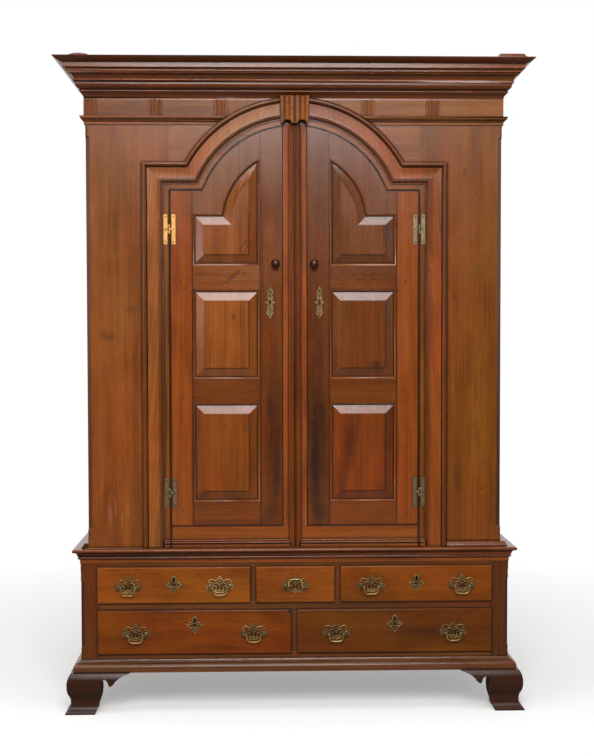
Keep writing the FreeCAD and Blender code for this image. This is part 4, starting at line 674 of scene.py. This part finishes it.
boards = {
    "caseWood": ["face_stiles", "head_and_sill", "upper_sides", "lower_stiles", "lower_sides",
                 "drawer_rails"],
    "friezeWood": ["triglyphs", "frieze"],
    "trimWood": ["architrave"],
    "mullionWood": ["keystone", "mullion"],
    "corniceWood": ["cornice", "waist_moulding", "base_moulding"],
    "footWood": ["bracket_feet"],
    "innerWood": ["upper_boards", "shelves", "back_boards", "lower_boards", "drawer_runners",
                  "foot_blocks"] + [node for node in nodeOf if node.endswith("_box")],
    "doorWood": [f"door_{side}_{part}" for side in sides for part in ("stiles", "rails", "panels")],
    "iron": [f"door_{side}_bolt" for side in sides],
    "knobBrass": [f"door_{side}_knob" for side in sides],
    "brass": [node for node in nodeOf if "_bail_" in node],
    "drawerWood": [node for node in nodeOf
                   if node.startswith("drawer_") and node.endswith("_front")],
}
softening = {        # soft edges in metres and sharp angles in degrees, where they aren't the usual
    "trimWood": {"edge": 0.0005, "sharp": 22}, "mullionWood": {"edge": 0.0005, "sharp": 22},
    "corniceWood": {"edge": 0.0005}, "panels": {"sharp": 12},
    "brass": {"edge": 0.0003}, "iron": {"edge": 0.0003}, "knobBrass": {"edge": 0.0003},
}
for finishName, nodes in boards.items():
    for node in nodes:
        own = softening.get("panels" if node.endswith("_panels") else finishName, {})
        squared = node.startswith("door_") and node.endswith(("_stiles", "_rails"))
        dressed(node, finish[finishName], reshape=squareOpenings if squared else None,
                slanted=node == "architrave", **own)
flattenBand(bpy.data.objects["architrave_dressed"].data)
print("boards dressed")

# ---- brasses ----

fret = {
    "halfWidth": 1.05, "rim": 1.4, "thickness": 1.6,                     # millimetres
    "barShare": 0.9, "loopShare": 0.95,      # of the rim's thickness
    "perSpan": 6, "loopSteps": 20,
    "rubbed": "bail_top_left_2",
    "pull": {
        "outline": [(0, 35), (5, 30), (9, 24), (14, 21), (21, 24), (29, 25), (36, 20), (37.5, 13),
                    (43, 5), (41.5, -4), (35, -9), (28, -8), (23, -10), (19, -14), (12, -17.5),
                    (6, -17.5), (0, -20)],
        "bars": [[(2, 6), (6.5, 11.5), (12.7, 13.5), (19, 11), (23, 6), (24, 0)],
                 [(9, 24), (8, 17), (12.7, 13.5)], [(9, 7), (11.5, -2), (9, -9), (4, -13)],
                 [(0, -8), (5, -11), (9, -13), (12, -17)], [(23, 8), (30, 14.5), (36, 18)],
                 [(13, 2), (18, 4), (22, 0), (20, -7), (15, -10), (11, -6)],
                 [(24, 0), (21, -7), (13, -11), (6, -17)]],
        "stems": [[(0, 16), (0, 3), (0, -8)]],
        "loops": [(0, 22, 4.6, 5.5), (33, 0.5, 6.8, 7.0), (0, -13.5, 2.8, 3.6)],
    },
    "scutcheon": {
        "outline": [(0, 28), (5, 25), (7.5, 19), (7.5, 12), (11, 9), (16, 8), (20, 4), (26, 0),
                    (19, -4), (16, -7), (12, -10), (9, -15), (5, -20), (0, -26)],
        "bars": [[(4, 7), (9, 1), (5, -6), (0, -9)], [(9, 1), (15, 3), (22, 0)],
                 [(5, -6), (10, -8), (14, -8)], [(0, -9), (4, -14), (2, -20)]],
        "stems": [],
        "loops": [(0, 15.0, 5.2, 10.0)],
    },
    "doorScutcheon": {
        "outline": [(0, 49), (4.5, 42), (9.5, 34), (5.5, 27), (8, 20), (6.5, 12), (7.5, 4), (15, 1),
                    (7.5, -2), (6.5, -10), (9, -17), (6, -24), (10.5, -33), (6, -38), (0, -49)],
        "bars": [[(5.5, 27), (3, 30), (0, 31)], [(6, -24), (3, -29), (0, -31)],
                 [(9.5, -33), (5, -36), (0, -42)]],
        "stems": [[(0, 31), (0, 26)], [(0, -27), (0, -31)]],
        "loops": [(0, 36, 4.0, 5.0), (0, 22, 4.5, 4.5), (0, 0, 4.4, 9.5), (3.4, 13.5, 2.2, 2.6),
                  (3.4, -14, 2.2, 2.6), (0, -22, 3.8, 4.2), (0, -36, 3.4, 4.0)],
    },
}


def curveThrough(points, closed=False):
    # Between two points runs the cubic whose slope at each end is half the line that joins that
    # end's neighbours.
    p = np.asarray(points, float)
    if closed:
        a, b, c, d = np.roll(p, 1, 0), p, np.roll(p, -1, 0), np.roll(p, -2, 0)
    else:
        padded = np.vstack([2 * p[0] - p[1], p, 2 * p[-1] - p[-2]])
        a, b, c, d = padded[:-3], padded[1:-2], padded[2:-1], padded[3:]
    t = (np.arange(fret["perSpan"]) / fret["perSpan"])[None, :, None]
    a, b, c, d = (each[:, None, :] for each in (a, b, c, d))
    curve = (b + 0.5 * t * (c - a) + t ** 2 * (a - 2.5 * b + 2 * c - 0.5 * d)
             + t ** 3 * (1.5 * (b - c) + 0.5 * (d - a))).reshape(-1, 2)
    return curve if closed else np.vstack([curve, p[-1]])


def barSurface(curve, closed, halfWidth, thickness):
    # Six points stand across the path at each step: the back's two corners, and the front's two
    # with their shoulders; the surface joins each step's six to the next step's.
    ahead = (np.roll(curve, -1, 0) - np.roll(curve, 1, 0)) if closed else np.gradient(curve, axis=0)
    ahead /= np.linalg.norm(ahead, axis=1, keepdims=True)
    side = np.array([-1, -1, -0.5, 0.5, 1, 1]) * halfWidth
    out = np.array([0, 0.6, 1, 1, 0.6, 0]) * thickness
    x = curve[:, :1] + ahead[:, 1:] * side
    z = curve[:, 1:] - ahead[:, :1] * side
    grid = np.stack([x, np.broadcast_to(-out, x.shape), z], axis=2)
    steps, across = grid.shape[:2]
    index = np.arange(steps * across).reshape(steps, across)
    onward = np.roll(index, -1, 0) if closed else index[1:]
    here = index if closed else index[:-1]
    ends = [] if closed else [index[0].tolist(), index[-1].tolist()]
    return grid.reshape(-1, 3), ringFaces(here, onward) + ends


def turnedSurface(profile, x, z, around=16):
    # Each radius of the profile is carried round the line through (x, z) towards the front.
    radius, out = np.array(profile, float).T
    turn = np.arange(around) * 2 * math.pi / around
    rings = np.stack([x + radius[:, None] * np.cos(turn), np.repeat(-out[:, None], around, axis=1),
                      z + radius[:, None] * np.sin(turn)], axis=2)
    index = np.arange(rings.shape[0] * around).reshape(-1, around)
    ends = [index[0].tolist(), index[-1].tolist()]
    return rings.reshape(-1, 3), ringFaces(index[:-1], index[1:]) + ends


def fretSurfaces(design):
    # The outline, loops, bars and stems of a fretted plate about its own middle.
    half = np.asarray(design["outline"], float)
    whole = np.vstack([half, (half[1:-1] * (-1.0, 1.0))[::-1]])
    surfaces = [barSurface(curveThrough(whole, True), True, fret["rim"], fret["thickness"])]
    paths = [np.asarray(bar, float) * (facing, 1.0) for bar in design["bars"]
             for facing in (1.0, -1.0)] + design["stems"]
    for path in paths:
        surfaces.append(barSurface(curveThrough(path), False, fret["halfWidth"],
                                   fret["thickness"] * fret["barShare"]))
    turn = np.arange(fret["loopSteps"]) * 2 * math.pi / fret["loopSteps"]
    for x, z, halfWide, halfTall in design["loops"]:
        for facing in ((1.0, -1.0) if x else (1.0,)):
            ring = np.stack([x * facing + halfWide * np.cos(turn), z + halfTall * np.sin(turn)],
                            axis=1)
            surfaces.append(barSurface(ring, True, fret["halfWidth"],
                                       fret["thickness"] * fret["loopShare"]))
    return surfaces


def surfacePiece(name, node, surfaces, material, place):
    # Joins surfaces, in millimetres about a place in metres, into one piece on the node's body.
    points, faces, start = [], [], 0
    for own, ownFaces in surfaces:
        points.append(own * 0.001 + np.asarray(place))
        faces += [[start + corner for corner in face] for face in ownFaces]
        start += len(own)
    mesh = bpy.data.meshes.new(name)
    mesh.from_pydata(np.vstack(points).tolist(), [], faces)
    shell = bmesh.new()
    shell.from_mesh(mesh)
    bmesh.ops.recalc_face_normals(shell, faces=shell.faces)
    shell.to_mesh(mesh)
    shell.free()
    piece = newObject(name, mesh)
    mesh.materials.append(material)
    softened(piece, 0, dressing["surfaceSharp"])
    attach(piece, bodyOf[node])
    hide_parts(node)
    return piece


def raiseKeyhole(mesh, keyPlace, lift):
    # The hole's own points move up inside the flat front.
    place = vertexPlaces(mesh)
    away = np.abs(place - keyPlace)
    across, up = keyhole["reach"]
    place[(away[:, 0] < across) & (away[:, 2] < up), 2] += lift
    moveVertices(mesh, place)


lock = {                                   # metres
    "behind": 0.02,                        # a drawer's lock is further behind its face than this
    "plate": 0.003,                        # a door lock's flat plate is thinner than this
    "edge": 0.0002,
}
post = {
    "spacing": 66.0,                       # millimetres
    "profile": [(2.4, -28), (2.4, 1), (6.2, 1), (6.2, 2), (4.6, 2.8), (3.6, 4.4), (3.6, 7.2),
                (4.8, 9.4), (5.2, 11), (5.2, 13), (4.4, 15.4), (2.6, 16.8), (0.8, 17.2)],
}
for drawer in drawers:
    node = f"drawer_{drawer}_brasses"
    dressed(node, finish["iron"], edge=lock["edge"],
            keep=lambda low, high: low[1] > drawerFace + lock["behind"])
    for bail, (x, _, z) in bails.items():
        if bail.startswith(f"bail_{drawer}_"):
            pull = bail.removesuffix("_swing")
            plate = finish["brightBrass" if pull == fret["rubbed"] else "brass"]
            posts = [turnedSurface(post["profile"], side * post["spacing"] / 2, 0)
                     for side in sides.values()]
            surfacePiece(f"{pull}_plate", node, fretSurfaces(fret["pull"]), plate,
                         (x, drawerFace, z))
            surfacePiece(f"{pull}_posts", node, posts, finish["postBrass"], (x, drawerFace, z))
    if drawer in keyPlaces:
        raiseKeyhole(bpy.data.objects[f"drawer_{drawer}_front_dressed"].data, keyPlaces[drawer],
                     keyLifts[drawer])
        middle = keyPlaces[drawer] + Vector((0, 0, keyLifts[drawer] - keyhole["plateDrop"]))
        surfacePiece(f"drawer_{drawer}_scutcheon", node, fretSurfaces(fret["scutcheon"]),
                     finish["brass"], middle)

hinge = {
    "split": 1.2, "halfTall": 0.0485, "plate": 0.0016, "edge": 0.0003,       # metres
    "upper": {"left": "goldBrass", "right": "hingeBrass"},
    "screws": [-40.5, 0.0, 40.5], "leafMiddle": 12.5,                        # millimetres
    "tongues": {"door": [0.0], "case": [-10.0, 10.0]}, "tongue": (2.6, 6.4, 4.85, 4.4),
    "screw": [(2.5, -0.2), (2.5, 0.25), (1.9, 0.7), (0.5, 0.95)], "screwAround": 10,
}
for side, sign in sides.items():
    node = f"door_{side}_lock"
    dressed(node, finish["iron"], edge=hinge["edge"],
            keep=lambda low, high: high[1] - low[1] >= lock["plate"])
    low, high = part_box(node)
    mouldings = surfacePiece(f"door_{side}_sticking", f"door_{side}_rails",
                             [stickingSurface(*panel, sign) for panel in sticking["panels"]],
                             finish["doorWood"], (0, doorFace, 0))
    grainFields(mouldings.data, "sticking")
    middle = (sign * keyhole["doorPlace"][0], doorFace, (low[2] + high[2]) / 2)
    surfacePiece(f"door_{side}_scutcheon", node, fretSurfaces(fret["doorScutcheon"]),
                 finish["brass"], middle)
    leaves = f"door_{side}_hinge_leaves"
    dressed(leaves, finish[hinge["upper"][side]], edge=hinge["edge"], name=leaves + "_upper",
            keep=lambda low, high: low[2] > hinge["split"])
    dressed(leaves, finish["hingeBrass"], edge=hinge["edge"], name=leaves + "_lower",
            keep=lambda low, high: low[2] < hinge["split"])
screws = [turnedSurface(hinge["screw"], 0, rise, hinge["screwAround"]) for rise in hinge["screws"]]
near, far, halfTall, proud = hinge["tongue"]
for side, sign in sides.items():
    leaves = f"door_{side}_hinge_leaves"
    low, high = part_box(leaves)
    x = jointPlaces[f"door_{side}_hinge"][0]
    for node, way, kind in ((leaves, -sign, "door"), ("hinge_case_leaves", sign, "case")):
        tongues = [barSurface(np.array([(way * near, rise), (way * far, rise)]), False, halfTall,
                              proud) for rise in hinge["tongues"][kind]]
        for number, height in ((1, low[2] + hinge["halfTall"]), (2, high[2] - hinge["halfTall"])):
            plate = finish[hinge["upper"][side] if number == 2 else "hingeBrass"]
            surfacePiece(f"{node}_{side}_tongues_{number}", node, tongues, plate,
                         (x, doorFace, height))
            surfacePiece(f"{node}_{side}_screws_{number}", node, screws, finish["iron"],
                         (x + way * hinge["leafMiddle"] * 0.001, doorFace - hinge["plate"], height))
for side, sign in sides.items():
    dressed("hinge_case_leaves", finish[hinge["upper"][side]], edge=hinge["edge"],
            keep=lambda low, high: sign * low[0] > 0 and low[2] > hinge["split"],
            name=f"hinge_case_leaves_upper_{side}")
dressed("hinge_case_leaves", finish["hingeBrass"], edge=hinge["edge"],
        keep=lambda low, high: low[2] < hinge["split"], name="hinge_case_leaves_lower")
print("brasses made")

# ---- stage, light and camera ----

view = {
    "place": (-0.112, -4.34, 1.241),       # metres
    "turn": (-1.65, -2.17, 0.1),           # degrees: about Z, then X, then Y
    "lens": 60.19, "sensor": 36.0,         # millimetres
}


def addCamera():
    data = bpy.data.cameras.new("camera")
    data.lens, data.sensor_width, data.sensor_fit = view["lens"], view["sensor"], "AUTO"
    camera = newObject("camera", data)
    aboutZ, aboutX, aboutY = (math.radians(angle) for angle in view["turn"])
    turned = (Matrix.Rotation(aboutZ, 3, "Z") @ Matrix.Rotation(aboutX, 3, "X")
              @ Matrix.Rotation(aboutY, 3, "Y"))
    right, ahead, up = (turned @ Vector(axis) for axis in ((1, 0, 0), (0, 1, 0), (0, 0, 1)))
    camera.matrix_world = (Matrix.Translation(view["place"])
                           @ Matrix((right, up, -ahead)).transposed().to_4x4())
    bpy.context.scene.camera = camera


def addLamp(name, place, aim, size, power):
    data = bpy.data.lights.new(name, "AREA")
    data.shape, data.size, data.size_y, data.energy = "RECTANGLE", *size, power
    lamp = newObject(name, data)
    lamp.location = place
    lamp.rotation_euler = (Vector(aim) - Vector(place)).to_track_quat("-Z", "Y").to_euler()


floorLook = {"colour": (0.78, 0.78, 0.77), "bounce": (0.38, 0.34, 0.3), "lift": 0.34,
             "near": 0.9, "far": 2.6, "reach": 30.0}                        # metres
studio = {"ambient": 0.3, "front": 0.05, "frontToBack": (-0.4, 0.1)}


def addFloor():
    # A pale floor that keeps the shadow near the object and fades to plain white away from it.
    mesh = bpy.data.meshes.new("floor")
    reach = floorLook["reach"]
    corners = [(-reach, -reach, 0), (reach, -reach, 0), (reach, reach, 0), (-reach, reach, 0)]
    mesh.from_pydata(corners, [], [(0, 1, 2, 3)])
    floor = newObject("floor", mesh)
    material, tree, shader = newMaterial("paleFloor")
    place = addNode(tree, "ShaderNodeTexCoord").outputs["Object"]
    away = addNode(tree, "ShaderNodeVectorMath", {0: place}, operation="LENGTH").outputs["Value"]
    fade = ramp(tree, away, floorLook["near"], floorLook["far"])
    seen = addNode(tree, "ShaderNodeLightPath").outputs["Is Camera Ray"]
    lift = multiply(tree, seen, ramp(tree, fade, 0.0, 1.0, floorLook["lift"], 1.0))
    near = mixColour(tree, fade, floorLook["colour"], (0, 0, 0))
    tree.links.new(mixColour(tree, seen, floorLook["bounce"], near), shader.inputs["Base Color"])
    tree.links.new(lift, shader.inputs["Emission Strength"])
    shader.inputs["Emission Color"].default_value = (1.0, 1.0, 1.0, 1.0)
    shader.inputs["Roughness"].default_value = 0.9
    shader.inputs["Specular IOR Level"].default_value = 0.0
    floor.data.materials.append(material)


def addWorld():
    # White behind the object, for the camera and for what mirrors it; the room in front is dim.
    world = bpy.data.worlds.new("studio")
    world.use_nodes = True
    bpy.context.scene.world = world
    tree = world.node_tree
    back = tree.nodes["Background"]
    rays = addNode(tree, "ShaderNodeLightPath")
    heading = addNode(tree, "ShaderNodeTexCoord").outputs["Generated"]
    depth = addNode(tree, "ShaderNodeSeparateXYZ", {0: heading}).outputs["Y"]
    mirrored = mathNode(tree, "MAXIMUM", rays.outputs["Is Glossy Ray"],
                        rays.outputs["Is Transmission Ray"])
    room = ramp(tree, depth, *studio["frontToBack"], studio["front"], 1.0)
    strength = timesAdd(tree, mirrored,
                        mathNode(tree, "SUBTRACT", room, studio["ambient"]), studio["ambient"])
    strength = mathNode(tree, "MAXIMUM", strength, rays.outputs["Is Camera Ray"])
    back.inputs["Color"].default_value = (1.0, 1.0, 1.0, 1.0)
    tree.links.new(strength, back.inputs["Strength"])


lamps = {     # place, aim and size in metres, and watts
    "softboxHigh": ((0.0, -4.2, 3.55), (0, 0, 1.3), (2.4, 2.0), 160.0),
    "softboxLeft": ((-2.6, -3.2, 1.62), (0, 0, 1.3), (0.9, 0.8), 18.0),
    "fillRight": ((3.4, -3.0, 2.2), (0, 0, 1.1), (1.8, 1.8), 18.0),
    "overhead": ((-0.3, -0.6, 4.4), (0, 0, 1.0), (2.6, 2.0), 50.0),
}
addCamera()
addWorld()
addFloor()
for lampName, (place, aim, size, watts) in lamps.items():
    addLamp(lampName, place, aim, size, watts)
bpy.context.scene.view_settings.view_transform = "Standard"
print("stage, lamps and camera set")
